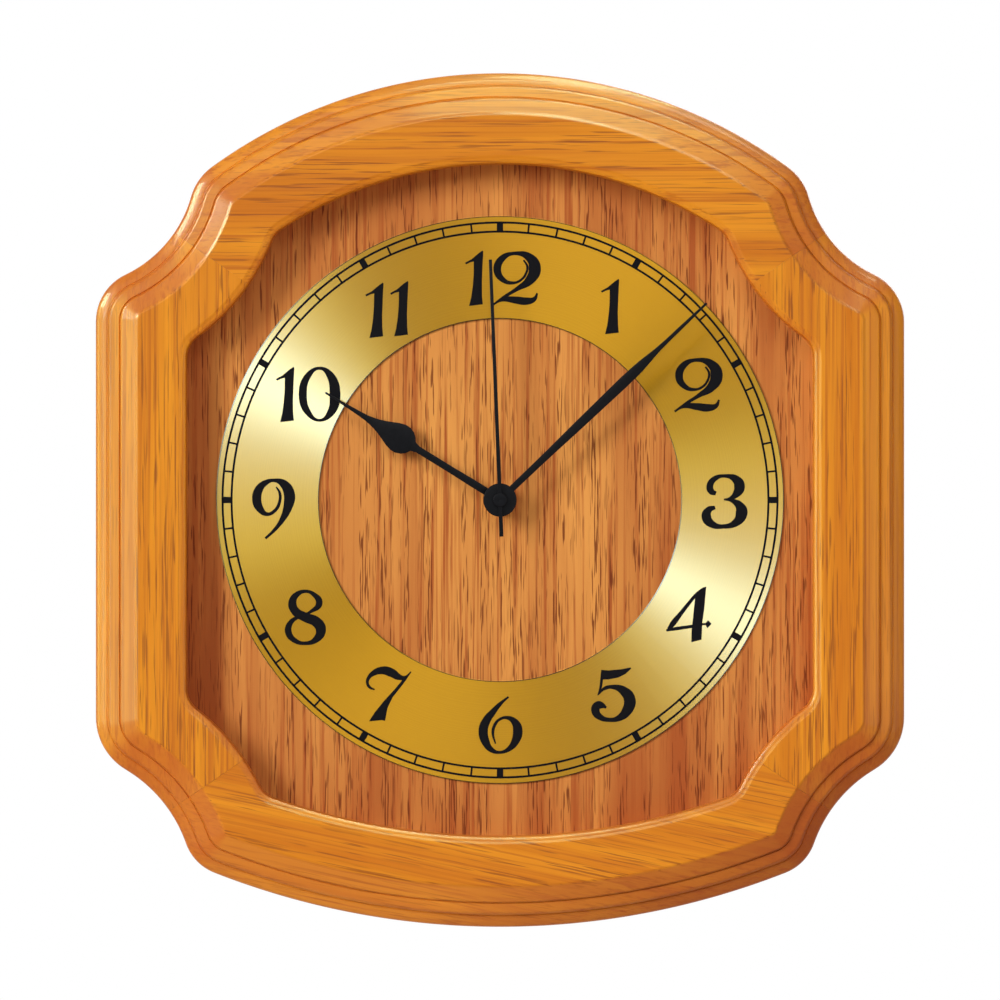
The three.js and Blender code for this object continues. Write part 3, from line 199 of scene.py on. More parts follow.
# %% [markdown]
# ## Four members from one ring
# The joiner shapes four boards and glues them at mitres through the hollow of each corner. Cutting
# the lofted ring with a plane at each mitre gives the same four boards, each with its own grain,
# and the hairline left between them is the glue line. The keyhole plate needs its pocket in the
# back of the top rail, which a boolean cuts.

# %% Cut the members
MITRE = math.radians(34.5)
GLUE_LINE = 0.03
across = Vector((-math.sin(MITRE), 0, math.cos(MITRE)))
corner_top = at(HALF_WIDTH + TOP["beyond"], HALF_HEIGHT - TOP["below"], 0)
corner_bottom = at(HALF_WIDTH + BOTTOM["beyond"], BOTTOM["below"] - HALF_HEIGHT, 0)


def mitre(corner, side, up):
    """Point and normal of one mitre; the normal looks at the rail."""
    return (
        Vector((side * corner.x, 0, corner.z)),
        Vector((side * across.x, 0, up * across.z)),
    )


def cut(obj, plane, keep_rail):
    """Cuts a board at a mitre, closes the cut and keeps one side."""
    corner, normal = plane
    toward = normal if keep_rail else -normal
    kept_from = corner + toward * GLUE_LINE * MM
    with editing(obj):
        bpy.ops.mesh.bisect(plane_co=kept_from, plane_no=toward, use_fill=True, clear_inner=True)


def duplicate(obj):
    """A copy with a mesh of its own."""
    copy = obj.copy()
    copy.data = obj.data.copy()
    bpy.context.collection.objects.link(copy)
    return copy


members = {}
for name in ("top_rail", "bottom_rail", "left_stile", "right_stile"):
    obj = members[name] = duplicate(frame_ring)
    if "rail" in name:
        corner, up = (corner_top, 1) if name == "top_rail" else (corner_bottom, -1)
        for side in (-1, 1):
            cut(obj, mitre(corner, side, up), True)
    else:
        side = -1 if name == "left_stile" else 1
        cut(obj, mitre(corner_top, side, 1), False)
        cut(obj, mitre(corner_bottom, side, -1), False)
bpy.data.objects.remove(frame_ring)
print("boards cut:", len(members))

# %% Let in the keyhole plate
WELD = 1e-6  # metres within which two points are one
SMOOTH_UP_TO = math.radians(35)
# Low and high corners of the two pockets in mm, and the radius of their corners.
SEAT = ((-22.3, 137.7, -1), (22.3, 156.3, 3.2))
HEAD_ROOM = ((-5.5, 139.5, 2), (5.5, 152, 11.2))
POCKET_CORNER = 3


def dress(obj, look):
    """Gives a piece one material, in place of any that it has."""
    obj.data.materials.clear()
    obj.data.materials.append(look)


def finish(obj, body, nodes, look=None):
    """Cleans the mesh, smooths it, and ties it to its body, finish and CAD nodes."""
    with editing(obj):
        bpy.ops.mesh.remove_doubles(threshold=WELD)
        bpy.ops.mesh.normals_make_consistent(inside=False)
    bpy.ops.object.shade_smooth_by_angle(angle=SMOOTH_UP_TO)
    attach(obj, body)
    if nodes:
        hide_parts(*nodes)
    if look:
        dress(obj, look)
    return obj


def ease(obj, chosen, width, segments):
    """Rounds the edges whose two ends pass the test chosen(u, v); the width is in mm."""
    with editing(obj):
        bpy.ops.mesh.select_mode(type="EDGE")
        bpy.ops.mesh.select_all(action="DESELECT")
    for edge in obj.data.edges:
        u, v = (obj.data.vertices[i].co for i in edge.vertices)
        edge.select = chosen(u, v)
    bpy.ops.object.mode_set(mode="EDIT")
    bpy.ops.mesh.bevel(offset=width * MM, segments=segments)
    bpy.ops.object.mode_set(mode="OBJECT")


def slab(name, low, high, round_corners=0.0, segments=4):
    """A block between two corners in mm, with the edges that run front to back rounded."""
    a, b = at(*low), at(*high)
    bpy.ops.mesh.primitive_cube_add(size=1, location=(a + b) / 2)
    block = bpy.context.active_object
    block.name = name
    block.scale = [abs(s) for s in b - a]
    bpy.ops.object.transform_apply()
    if round_corners:
        ease(block, lambda u, v: abs(u.y - v.y) > WELD, round_corners, segments)
    return block


def carve(obj, cutter, operation="DIFFERENCE"):
    """Cuts one solid by another and throws the cutter away."""
    pick(obj)
    boolean = obj.modifiers.new("carve", "BOOLEAN")
    boolean.operation, boolean.object, boolean.solver = operation, cutter, "EXACT"
    bpy.ops.object.modifier_apply(modifier=boolean.name)
    bpy.data.objects.remove(cutter)


carve(members["top_rail"], slab("seat", *SEAT, POCKET_CORNER))
carve(members["top_rail"], slab("head_room", *HEAD_ROOM, POCKET_CORNER))
for name, obj in members.items():
    obj.name = obj.data.name = "oak_" + name
    finish(obj, "case", [name])
print("members:", {o.name: len(o.data.polygons) for o in members.values()})

# %% [markdown]
# ## Oak under satin lacquer
# Oak shows broad streaks along the board, fine growth lines, and short dark pores lined up with
# them. Noise stretched along the grain gives all three at different sizes. The recipe is built
# three times: upright for the stiles, level for the top rail, and a little aslant for the bottom
# rail, as boards come off the saw. On the moulding the lacquer fills the pores and the end grain
# that shows where the line turns is redder. The moulding also carries painted light: painted shade
# at the lower right, where it faces away from the light, and a paler painted sheen over its lower
# half. Only the front is lacquered. Object coordinates keep the figure fixed to the wood.

# %% Node recipes
def srgb(red, green, blue):
    """A colour as a picture shows it, 0 to 255, as the linear values that shaders use."""
    shown = [c / 255 for c in (red, green, blue)]
    return (*[((c + 0.055) / 1.055) ** 2.4 if c > 0.04045 else c / 12.92 for c in shown], 1)


def grey(value):
    return (value, value, value, 1)


class Tree:
    """A short way to write node materials: each call adds a node and links what it is given."""

    def __init__(self, name, roughness=0.5, metallic=0.0, **values):
        self.material = bpy.data.materials.new(name)
        self.material.use_nodes = True
        self.nodes, self.links = self.material.node_tree.nodes, self.material.node_tree.links
        self.shader = self.nodes["Principled BSDF"]
        self.slant = 0.0
        values.update({"Roughness": roughness, "Metallic": metallic})
        for key, value in values.items():
            self.shader.inputs[key].default_value = value

    def add(self, kind, inputs=None, **settings):
        made = self.nodes.new(kind)
        for key, value in settings.items():
            setattr(made, key, value)
        for key, value in (inputs or {}).items():
            if isinstance(value, bpy.types.NodeSocket):
                self.links.new(value, made.inputs[key])
            else:
                made.inputs[key].default_value = value
        return made

    def coords(self):
        return self.add("ShaderNodeTexCoord").outputs["Object"]

    def split(self, vector):
        """The X, Y and Z of a vector."""
        return self.add("ShaderNodeSeparateXYZ", {0: vector}).outputs

    def flat(self, parts):
        """The vector of these parts without its depth."""
        return self.add("ShaderNodeCombineXYZ", {"X": parts["X"], "Z": parts["Z"]}).outputs[0]

    def vector(self, operation, *inputs):
        kit = dict(enumerate(inputs))
        return self.add("ShaderNodeVectorMath", kit, operation=operation).outputs

    def noise(self, scale, detail=2.0, rough=0.5, offset=(0, 0, 0), distortion=0.0):
        spot = self.coords()
        if self.slant:
            kit = {"Vector": spot, "Angle": math.radians(self.slant)}
            spot = self.add("ShaderNodeVectorRotate", kit, rotation_type="Y_AXIS").outputs[0]
        moved = self.add("ShaderNodeMapping", {"Vector": spot, "Scale": scale, "Location": offset})
        kit = {"Vector": moved.outputs[0], "Scale": 1.0, "Detail": detail, "Roughness": rough}
        kit["Distortion"] = distortion
        return self.add("ShaderNodeTexNoise", kit).outputs["Fac"]

    def ramp(self, value, low, high, first=grey(0), last=grey(1)):
        made = self.add("ShaderNodeValToRGB", {"Fac": value})
        start, end = made.color_ramp.elements
        start.position, end.position = low, high
        start.color, end.color = first, last
        return made.outputs["Color"]

    def fade(self, value, low, high):
        """0 at low, 1 at high and straight between, for spans too short for a ramp."""
        kit = {"Value": value, "From Min": low, "From Max": high}
        return self.add("ShaderNodeMapRange", kit).outputs[0]

    def mix(self, factor, a, b):
        return self.add("ShaderNodeMix", {0: factor, 6: a, 7: b}, data_type="RGBA").outputs[2]

    def math(self, operation, a, b=0.0):
        return self.add("ShaderNodeMath", {0: a, 1: b}, operation=operation).outputs[0]

    def times(self, a, b):
        return self.math("MULTIPLY", a, b)

    def bump(self, height, strength, distance):
        kit = {"Height": height, "Strength": strength, "Distance": distance}
        made = self.add("ShaderNodeBump", kit)
        self.links.new(made.outputs[0], self.shader.inputs["Normal"])

    def color(self, socket):
        self.links.new(socket, self.shader.inputs["Base Color"])

    def rough(self, value, low, high, first, last):
        """Roughness from first to last as value goes from low to high."""
        made = self.ramp(value, low, high, grey(first), grey(last))
        self.links.new(made, self.shader.inputs["Roughness"])


print("node recipes:", [name for name in vars(Tree) if name[0] != "_"])

# %% Wood finish
PORE_STRENGTH, PORE_DEPTH = 0.2, 0.3 * MM


def grain(axis, along, across):
    """Scale of a noise that is stretched along one axis of the wood, in features a metre."""
    return tuple(along if i == axis else across for i in range(3))


def wood(name, axis, offset, slant=0.0):
    """Oak with its grain along one axis of the clock, turned by slant degrees."""
    lacquer = {"Specular IOR Level": 0.09, "Coat Roughness": 0.1, "Coat IOR": 1.5}
    t = Tree(name, roughness=0.42, **lacquer)
    t.slant = slant
    # Streaks and growth lines.
    broad = t.noise(grain(axis, 4, 90), 4, 0.6, offset, 0.5)
    figure = t.ramp(broad, 0.34, 0.66, srgb(199, 111, 12), srgb(226, 145, 26))
    growth = t.noise(grain(axis, 6, 620), 3, 0.6, offset)
    body = t.mix(t.ramp(growth, 0.34, 0.5), srgb(190, 103, 14), figure)
    # The moulding lies below the flat. Its lower half is painted a little paler and bluer, a
    # painted sheen standing in for the lacquer's reflection of the bright room.
    place = t.split(t.coords())
    on_moulding = t.fade(place["Y"], -44.9 * MM, -44.1 * MM)
    low = t.times(t.fade(place["Z"], -0.14, -0.26), on_moulding)
    body = t.mix(t.times(low, 0.3), body, srgb(200, 122, 64))
    # Pores are dashes that keep to rows, partly filled on the moulding.
    dashes = t.ramp(t.noise(grain(axis, 48, 1500), 1, 0.5, offset), 0.56, 0.66)
    rows = t.ramp(t.noise(grain(axis, 7, 310), 2, 0.5, offset), 0.38, 0.54)
    unfilled = t.math("SUBTRACT", 0.7, t.times(on_moulding, 0.4))
    pores = t.times(t.times(dashes, rows), unfilled)
    body = t.mix(pores, body, srgb(132, 60, 14))
    # End grain shows where the moulding faces along the board.
    facing = t.split(t.add("ShaderNodeTexCoord").outputs["Normal"])
    lean = t.split(t.vector("NORMALIZE", t.flat(facing))[0])[axis]
    end = t.times(t.ramp(t.math("ABSOLUTE", lean), 0.46, 0.72), on_moulding)
    body = t.mix(t.times(end, 0.5), body, srgb(186, 86, 20))
    # Painted shade: the moulding is darkened at the lower right corner, where it faces away from
    # the light.
    low_right = t.math("SUBTRACT", t.times(place["X"], 0.5), place["Z"])
    painted_shade = t.times(t.fade(low_right, 0.29, 0.335), on_moulding)
    t.color(t.mix(t.times(painted_shade, 0.6), body, srgb(142, 54, 16)))
    t.rough(growth, 0.3, 0.6, 0.48, 0.4)
    lacquered = t.ramp(t.times(facing["Y"], -1.0), 0.1, 0.35, last=grey(0.15))
    t.links.new(lacquered, t.shader.inputs["Coat Weight"])
    t.bump(t.math("SUBTRACT", 1.0, pores), PORE_STRENGTH, PORE_DEPTH)
    return t.material


oak_stile = wood("oak_stile", 2, (1, 5, 2))
boards = {
    "top_rail": wood("oak_top", 0, (3, 1, 2)),
    "bottom_rail": wood("oak_bottom", 0, (3, 1, 2), slant=-12),
}
for name, obj in members.items():
    dress(obj, boards.get(name, oak_stile))
print("oak on", len(members), "members")

# %% [markdown]
# ## The dial panel
# The panel is a flat veneered board behind the opening, so its CAD node has the right shape
# already. The veneer is redder than the frame and its pores run up the dial. Its colour is painted
# palest near the middle and darker towards the sides, a painted pool of light. Its back is plain
# hardboard.

# %% Veneer
def veneer():
    t = Tree("veneer", roughness=0.5, **{"Specular IOR Level": 0.1})
    offset = (2, 7, 4)
    figure = t.noise(grain(2, 3.0, 45), 3, 0.6, offset, 0.3)
    place = t.split(t.coords())
    # Painted light: the colour is painted darker away from a pale spot left of and above the middle
    # and towards both sides, a painted pool of light with painted shade at the edges.
    away = t.vector("DISTANCE", t.coords(), at(-18, 20, DIAL_FACE))["Value"]
    aside = t.times(t.math("ABSOLUTE", place["X"]), 0.9)
    crown = t.math("ADD", t.times(away, 1.8), aside)
    figure = t.math("SUBTRACT", t.math("ADD", figure, 0.15), crown)
    base = t.ramp(figure, 0.2, 0.7, srgb(168, 87, 41), srgb(236, 166, 83))
    streaks = t.noise(grain(2, 9, 520), 3, 0.6, offset)
    body = t.mix(t.ramp(streaks, 0.34, 0.5), srgb(170, 90, 42), base)
    dashes = t.ramp(t.noise(grain(2, 80, 1700), 1, 0.5, offset), 0.57, 0.64)
    rows = t.ramp(t.noise(grain(2, 9, 330), 2, 0.5, offset), 0.38, 0.55)
    pores = t.times(dashes, rows)
    face = t.mix(t.times(pores, 0.85), body, srgb(104, 42, 18))
    behind = t.math("GREATER_THAN", place["Y"], -29 * MM)
    felted = t.noise((700, 700, 700), 5, 0.7)
    hardboard = t.ramp(felted, 0.35, 0.65, srgb(118, 80, 50), srgb(152, 112, 76))
    t.color(t.mix(behind, face, hardboard))
    t.rough(streaks, 0.3, 0.6, 0.56, 0.48)
    t.bump(t.math("SUBTRACT", 1.0, pores), PORE_STRENGTH, PORE_DEPTH)
    return t.material


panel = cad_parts["dial_panel"]
dress(panel, veneer())
print("panel:", len(panel.data.polygons), "faces")

# %% [markdown]
# ## The chapter ring
# The ring is thin sheet brass, turned and brushed round its centre and then lacquered. A small
# section spun about the hands' axis gives it true round edges. Brushing round the centre is what
# throws the bright fan of light across it, so the shader is anisotropic and follows a UV map whose
# first direction runs out from the centre, across the brush marks.

# %% Spin the ring
AXIS = at(0, 0, 0)
OFF_WALL, RIGHT, UP = Vector((0, -1, 0)), Vector((1, 0, 0)), Vector((0, 0, 1))
RING_IN, RING_OUT, RING_FACE = 68, 106.5, 31.8
ROUND = 256  # steps of the large circles
UV_REACH = 0.12


def turned(name, chain, steps, centre=AXIS, along=OFF_WALL, out=RIGHT, closed=True):
    """Spins a chain of (radius, distance along the axis) points, in mm, about an axis."""
    places = [centre + (out * r + along * h) * MM for r, h in chain]
    bpy.ops.mesh.primitive_plane_add(size=MM, location=places[0])
    obj = bpy.context.active_object
    obj.name = name
    bpy.ops.object.transform_apply()
    with editing(obj):
        bpy.ops.mesh.select_mode(type="VERT")
        bpy.ops.mesh.merge(type="CENTER")
        for a, b in zip(places, places[1:] + places[:1] * closed):
            bpy.ops.mesh.extrude_region_move(TRANSFORM_OT_translate={"value": b - a})
        bpy.ops.mesh.select_all(action="SELECT")
        bpy.ops.mesh.remove_doubles(threshold=WELD / 10)
        bpy.ops.mesh.spin(steps=steps, angle=2 * math.pi, center=centre, axis=along)
        bpy.ops.mesh.select_all(action="SELECT")
        bpy.ops.mesh.remove_doubles(threshold=WELD)
    return obj


def soft_section(r0, r1, z0, z1, soft):
    """A rectangle in section with its two front corners taken off."""
    return [(r0, z0), (r0, z1 - soft), (r0 + soft, z1), (r1 - soft, z1), (r1, z1 - soft), (r1, z0)]


ring = turned("brass_ring", soft_section(RING_IN, RING_OUT, DIAL_FACE, RING_FACE, 0.18), ROUND)
finish(ring, "case", ["chapter_ring"])
around = ring.data.uv_layers.new(name="around")
for face in ring.data.polygons:
    middle = face.center - AXIS
    turn = math.atan2(middle.z, middle.x)
    side = Vector((math.cos(turn), 0, math.sin(turn)))
    ahead = Vector((-side.z, 0, side.x))
    for i in face.loop_indices:
        p = ring.data.vertices[ring.data.loops[i].vertex_index].co - AXIS
        bend = math.atan2(p.dot(ahead), p.dot(side))
        around.data[i].uv = (math.hypot(p.x, p.z) / UV_REACH, (turn + bend) / 2 / math.pi + 0.5)
print("ring:", len(ring.data.polygons), "faces")

# %% Brush the brass
BAND_MIDDLE, BRIGHT_HALF = 87.25, 18.9


def brushed_brass():
    """Brass with fine rings of tone, and painted shade as a darker line at its two edges."""
    satin = {"Anisotropic": 0.92, "Specular IOR Level": 0.12}
    t = Tree("brushed_brass", roughness=0.45, metallic=0.03, **satin)
    spot = t.vector("SUBTRACT", t.coords(), tuple(AXIS))[0]
    radius = t.vector("LENGTH", t.flat(t.split(spot)))["Value"]
    kit = {"W": radius, "Scale": 3200.0, "Detail": 2.0}
    lines = t.add("ShaderNodeTexNoise", kit, noise_dimensions="1D").outputs["Fac"]
    gold = t.ramp(lines, 0.3, 0.7, srgb(155, 114, 12), srgb(163, 120, 15))
    # Painted shade: a thin dark line is painted along both edges of the ring.
    aside = t.math("ABSOLUTE", t.math("SUBTRACT", radius, BAND_MIDDLE * MM))
    painted_edge_shade = t.math("GREATER_THAN", aside, BRIGHT_HALF * MM)
    t.color(t.mix(painted_edge_shade, gold, srgb(70, 44, 10)))
    t.rough(lines, 0.3, 0.7, 0.43, 0.47)
    tangent = t.add("ShaderNodeTangent", direction_type="UV_MAP", uv_map=around.name)
    t.links.new(tangent.outputs[0], t.shader.inputs["Tangent"])
    return t.material


dress(ring, brushed_brass())
print("brass on", ring.name)

# %% [markdown]
# ## The minute track
# The track is printed on the ring: two fine circles with a bar at every minute and a stouter one at
# every fifth. Ink has hardly any thickness, but a film of a few hundredths of a millimetre keeps it
# clear of the brass. One bar is modelled and copied round, as a printer's plate repeats it. The ink
# comes from `stock`, a recipe that later serves the paint, metals and plastics as well: a colour
# and a roughness that drift a little over the surface.

# %% Print the track
INK_BACK, INK_FRONT = 31.78, 31.83
CIRCLES, CIRCLE_HALF = {"inner_circle": 100.7, "outer_circle": 104.1}, 0.4
BAR_IN, BAR_OUT, FINE_HALF, STOUT_HALF = 100.9, 103.9, 0.37, 1.2
fine, medium = (2200, 2200, 2200), (900, 900, 900)


def stock(name, dark, light, rough, metallic, scale, depth=0.0, **values):
    """A finish whose colour drifts between two tones; depth in mm is the grain of its surface."""
    t = Tree(name, roughness=rough, metallic=metallic, **values)
    drift = t.noise(scale, 3, 0.6)
    t.color(t.ramp(drift, 0.3, 0.7, dark, light))
    t.rough(drift, 0.3, 0.7, rough - 0.05, rough + 0.06)
    if depth:
        t.bump(drift, 0.4, depth * MM)
    return t.material


ink_gloss = {"Specular IOR Level": 0.08}
ink = stock("ink", srgb(4, 4, 7), srgb(8, 8, 12), 0.45, 0.0, fine, **ink_gloss)


def turn_clockwise(obj, degrees):
    """Turns a mesh about the hands' axis."""
    with editing(obj):
        turn = math.radians(-degrees)
        bpy.ops.transform.rotate(value=turn, orient_axis="Y", center_override=AXIS)
    return obj


def joined(pieces, name):
    """Makes one object of several."""
    first = pick(pieces[0])
    for piece in pieces:
        piece.select_set(True)
    bpy.ops.object.join()
    first.name = first.data.name = name
    return first


def bar(name, half):
    return slab(name, (-half, BAR_IN, INK_BACK), (half, BAR_OUT, INK_FRONT))


fine_bar, stout_bar = bar("fine_bar", FINE_HALF), bar("stout_bar", STOUT_HALF)
marks = []
for name, reach in CIRCLES.items():
    line = soft_section(reach - CIRCLE_HALF, reach + CIRCLE_HALF, INK_BACK, INK_FRONT, 0.01)
    marks.append(turned(name, line, ROUND))
marks += [turn_clockwise(duplicate(fine_bar), 6 * minute) for minute in range(60) if minute % 5]
marks += [turn_clockwise(duplicate(stout_bar), 30 * hour) for hour in range(12)]
bpy.data.objects.remove(fine_bar)
bpy.data.objects.remove(stout_bar)
track = finish(joined(marks, "minute_track"), "case", [], ink)
print("track:", len(track.data.polygons), "faces")

# %% [markdown]
# ## The numerals
# The figures are upright pen-drawn ones with thick and thin strokes. A curve whose radius swells
# and thins along the path is a pen stroke: its round bevel is turned to mesh and pressed flat into
# a film of ink. The straight stems are flat plates cut to an outline. Each digit is drawn once,
# about the middle of its own square, and set down as many times as the dial needs it.

# %% Draw the digits
# Pen strokes as (x, y, half width) in mm. A closed stroke ends where it starts.
PEN = {
    "2": [
        [(3.05, 7.04, 0.35), (4.4, 4.7, 0.47), (3.99, 2.05, 0.47), (1.88, -0.59, 0.47),
         (-1.17, -1.58, 0.59), (-4.58, -0.47, 1.0), (-6.81, 3.23, 1.47), (-4.99, 7.63, 1.23),
         (-0.29, 9.51, 0.7), (5.28, 7.92, 1.64), (7.28, 3.82, 2.29), (5.4, -0.47, 1.76),
         (0.59, -3.82, 0.82), (-4.11, -6.75, 0.59), (-8.51, -9.86, 0.41)],
        [(-7.63, -9.16, 0.23), (-4.4, -7.75, 0.82), (0.0, -7.98, 1.35), (4.11, -8.39, 1.41),
         (7.04, -7.63, 0.88), (8.22, -5.4, 0.35)],
    ],
    "3": [
        [(-3.05, 2.93, 0.76), (-4.7, 3.64, 1.17), (-5.4, 5.58, 1.29), (-3.52, 8.51, 1.0),
         (0.59, 9.51, 0.7), (4.4, 8.22, 1.58), (5.75, 5.58, 2.05), (4.58, 2.82, 1.47),
         (2.35, 1.17, 0.65), (-0.12, 0.7, 0.29)],
        [(-0.12, 0.7, 0.29), (3.23, 0.12, 0.82), (5.87, -1.88, 1.76), (6.52, -4.4, 2.23),
         (4.7, -7.75, 1.53), (-0.29, -9.45, 0.82), (-4.7, -8.51, 1.41), (-6.69, -5.75, 1.82),
         (-5.75, -3.23, 1.29), (-3.4, -2.23, 0.7)],
    ],
    "4": [
        [(6.05, 9.86, 0.47), (3.52, 7.92, 0.59), (0.0, 3.82, 0.7), (-2.93, 0.12, 0.82),
         (-5.58, -3.23, 1.06), (-7.34, -5.58, 0.7)],
        [(-8.22, -5.99, 0.47), (-4.7, -5.4, 0.65), (1.76, -4.46, 0.59)],
        [(4.6, -3.7, 0.41), (7.04, -3.64, 0.41)],
    ],
    "5": [
        [(-3.99, 9.1, 0.53), (-4.28, 5.87, 0.53), (-4.81, 2.35, 0.47), (-5.75, -0.12, 0.18)],
        [(-5.58, 0.12, 0.23), (-3.23, 2.47, 0.65), (0.12, 3.05, 0.88), (4.11, 1.47, 1.76),
         (6.28, -1.88, 2.23), (4.99, -6.16, 1.88), (2.05, -8.69, 1.17), (-1.47, -9.27, 0.82),
         (-4.7, -8.33, 1.17), (-6.63, -5.87, 1.58), (-5.87, -3.87, 1.53), (-4.4, -3.82, 1.29),
         (-2.47, -4.7, 0.41)],
    ],
    "6": [
        [(3.11, 10.27, 0.35), (0.29, 7.92, 0.7), (-2.64, 4.7, 1.17), (-5.28, 1.17, 1.58),
         (-6.4, -2.35, 1.76), (-5.58, -6.46, 1.58), (-3.23, -9.68, 1.0), (0.0, -10.57, 0.59),
         (3.52, -9.1, 1.0), (5.87, -5.87, 1.58), (6.57, -2.35, 1.82), (5.58, 0.59, 1.41),
         (2.93, 2.35, 0.76), (0.0, 1.94, 0.53), (-2.05, -0.29, 0.59), (-2.76, -3.52, 0.53),
         (-1.76, -7.34, 0.29)],
    ],
    "7": [
        [(-4.7, 2.05, 0.29), (-6.57, 2.93, 0.53), (-7.45, 4.7, 0.59), (-6.93, 6.57, 0.7),
         (-4.99, 8.33, 1.06), (-1.47, 9.27, 1.53), (1.76, 8.33, 1.64), (4.4, 6.75, 1.17),
         (6.46, 6.57, 0.65), (8.98, 8.8, 0.23)],
    ],
    "8": [
        [(5.17, 5.28, 1.29), (3.23, 8.51, 0.88), (0.12, 9.74, 0.65), (-3.23, 8.51, 1.06),
         (-4.87, 5.58, 1.53), (-3.82, 2.35, 1.64), (0.0, 0.0, 1.76), (4.11, -1.76, 1.94),
         (5.81, -4.7, 1.94), (4.11, -8.22, 1.29), (0.29, -9.74, 0.7), (-3.82, -8.8, 0.94),
         (-6.4, -5.58, 1.29), (-5.58, -2.05, 1.0), (-2.35, 0.29, 0.59), (1.88, 2.05, 0.59),
         (5.17, 5.28, 1.29)],
    ],
    "9": [
        [(1.17, 6.16, 0.29), (2.47, 3.82, 0.53), (2.35, 0.29, 0.59), (0.59, -2.82, 0.65),
         (-2.35, -4.11, 0.76), (-4.99, -2.05, 1.41), (-6.16, 1.47, 1.76), (-5.28, 5.28, 1.53),
         (-2.93, 7.63, 1.06), (0.29, 8.57, 0.7), (3.82, 7.34, 1.53), (6.05, 3.52, 2.11),
         (5.58, -1.17, 1.76), (3.23, -6.46, 1.0), (0.29, -10.27, 0.65), (-2.93, -13.21, 0.47)],
    ],
    "0": [
        [(-6.3, 0.0, 1.53), (-4.3, 6.9, 1.17), (0.0, 9.75, 0.59), (3.9, 7.2, 1.41),
         (5.8, 0.0, 2.05), (4.2, -6.9, 1.41), (0.0, -9.8, 0.53), (-4.3, -6.9, 1.17),
         (-6.3, 0.0, 1.53)],
    ],
}
# Stems and flags as outlines.
PLATE = {
    "1": [
        [(-4.28, 6.1), (-1.76, 7.45), (0.88, 9.68), (2.35, 10.68), (2.64, 10.27), (2.35, 4.7),
         (2.11, -1.76), (2.17, -6.46), (2.47, -9.51), (-2.7, -10.1), (-1.94, -7.04),
         (-1.35, -2.93), (-1.0, 1.76), (-0.94, 6.57), (-2.35, 6.22), (-3.82, 5.46)],
    ],
    "4": [
        [(6.75, 10.45), (6.46, 7.04), (5.99, 1.76), (5.28, -2.93), (4.99, -9.51), (1.17, -10.45),
         (1.29, -5.87), (1.88, -0.59), (2.64, 6.93), (4.7, 9.63)],
        [(6.22, -3.64), (7.45, -2.17), (8.75, -3.52), (7.22, -5.22)],
    ],
    "5": [
        [(-4.4, 9.51), (-1.76, 9.27), (2.93, 9.68), (6.63, 10.39), (6.87, 9.98), (4.7, 7.92),
         (1.88, 6.57), (-1.76, 5.87), (-4.7, 5.87)],
    ],
    "7": [
        [(9.22, 8.8), (5.87, 3.99), (2.05, -0.76), (0.12, -4.81), (-0.82, -9.68), (-2.05, -9.39),
         (-6.87, -9.86), (-4.7, -6.46), (-1.17, -2.11), (2.93, 2.35), (6.75, 7.04)],
    ],
}
print("digits drawn:", len(PEN | PLATE))

# %% Set the digits
def stroke(path, middle):
    """A pen path with a radius at each point, pressed flat on the ring."""
    curve = bpy.data.curves.new("stroke", "CURVE")
    curve.dimensions, curve.bevel_depth, curve.bevel_resolution = "3D", MM, 2
    curve.use_fill_caps, curve.resolution_u = True, 8
    spline = curve.splines.new("BEZIER")
    spline.radius_interpolation = "CARDINAL"
    spline.use_cyclic_u = path[0] == path[-1]
    knots = path[:-1] if spline.use_cyclic_u else path
    spline.bezier_points.add(len(knots) - 1)
    for knot, (x, y, half) in zip(spline.bezier_points, knots):
        knot.co, knot.radius = at(middle[0] + x, middle[1] + y, 0), half
        knot.handle_left_type = knot.handle_right_type = "AUTO"
    pick(placed("stroke", curve))
    bpy.ops.object.convert(target="MESH")
    obj = bpy.context.active_object
    thick = max(abs(v.co.y) for v in obj.data.vertices)
    obj.scale.y = (INK_FRONT - RING_FACE) * MM / thick
    obj.location.y = -RING_FACE * MM
    bpy.ops.object.transform_apply()
    return obj


def flat_plate(corners, middle, z0, z1):
    """A flat plate cut to an outline, from height z0 to z1."""
    places = [at(middle[0] + x, middle[1] + y, z0) for x, y in corners]
    obj = mesh_piece("plate", places, [range(len(corners))])
    with editing(obj):
        thick = (0, (z0 - z1) * MM, 0)
        bpy.ops.mesh.extrude_region_move(TRANSFORM_OT_translate={"value": thick})
    return obj


# Digits of each hour and the middle of each, in mm from the hands' axis.
HOURS = {
    1: [("1", 42.1, 72.3)],
    2: [("2", 74.0, 43.0)],
    3: [("3", 84.1, -0.5)],
    4: [("4", 70.6, -42.9)],
    5: [("5", 42.4, -73.2)],
    6: [("6", 0.1, -84.1)],
    7: [("7", -42.3, -73.2)],
    8: [("8", -73.0, -44.0)],
    9: [("9", -85.1, -1.2)],
    10: [("1", -79.8, 39.3), ("0", -67.7, 39.7)],
    11: [("1", -46.3, 70.9), ("1", -37.0, 71.5)],
    12: [("1", -8.9, 82.9), ("2", 5.8, 83.0)],
}
for hour, digits in HOURS.items():
    parts = []
    for digit, x, y in digits:
        parts += [stroke(path, (x, y)) for path in PEN.get(digit, [])]
        parts += [flat_plate(line, (x, y), INK_BACK, INK_FRONT) for line in PLATE.get(digit, [])]
    finish(joined(parts, f"numeral_{hour}"), "case", [], ink)
print("numerals:", len(HOURS))

# %% [markdown]
# ## The hands
# The hands are stamped from thin sheet, eased at the edges by the press and painted black. Each is
# a short list of half widths along its length, drawn as an outline, thickened and bevelled. The
# hour hand has a leaf-shaped swelling and the minute hand a slim lozenge.

# %% Shape the hands
dull, tones = {"Specular IOR Level": 0.1}, (srgb(5, 6, 9), srgb(10, 11, 15))
black = stock("black_lacquer", *tones, 0.38, 0.0, medium, 0.01, **dull)
HUB_HIGH, HUB_SOFT, EDGE_EASE = 0.9, 0.15, 0.12
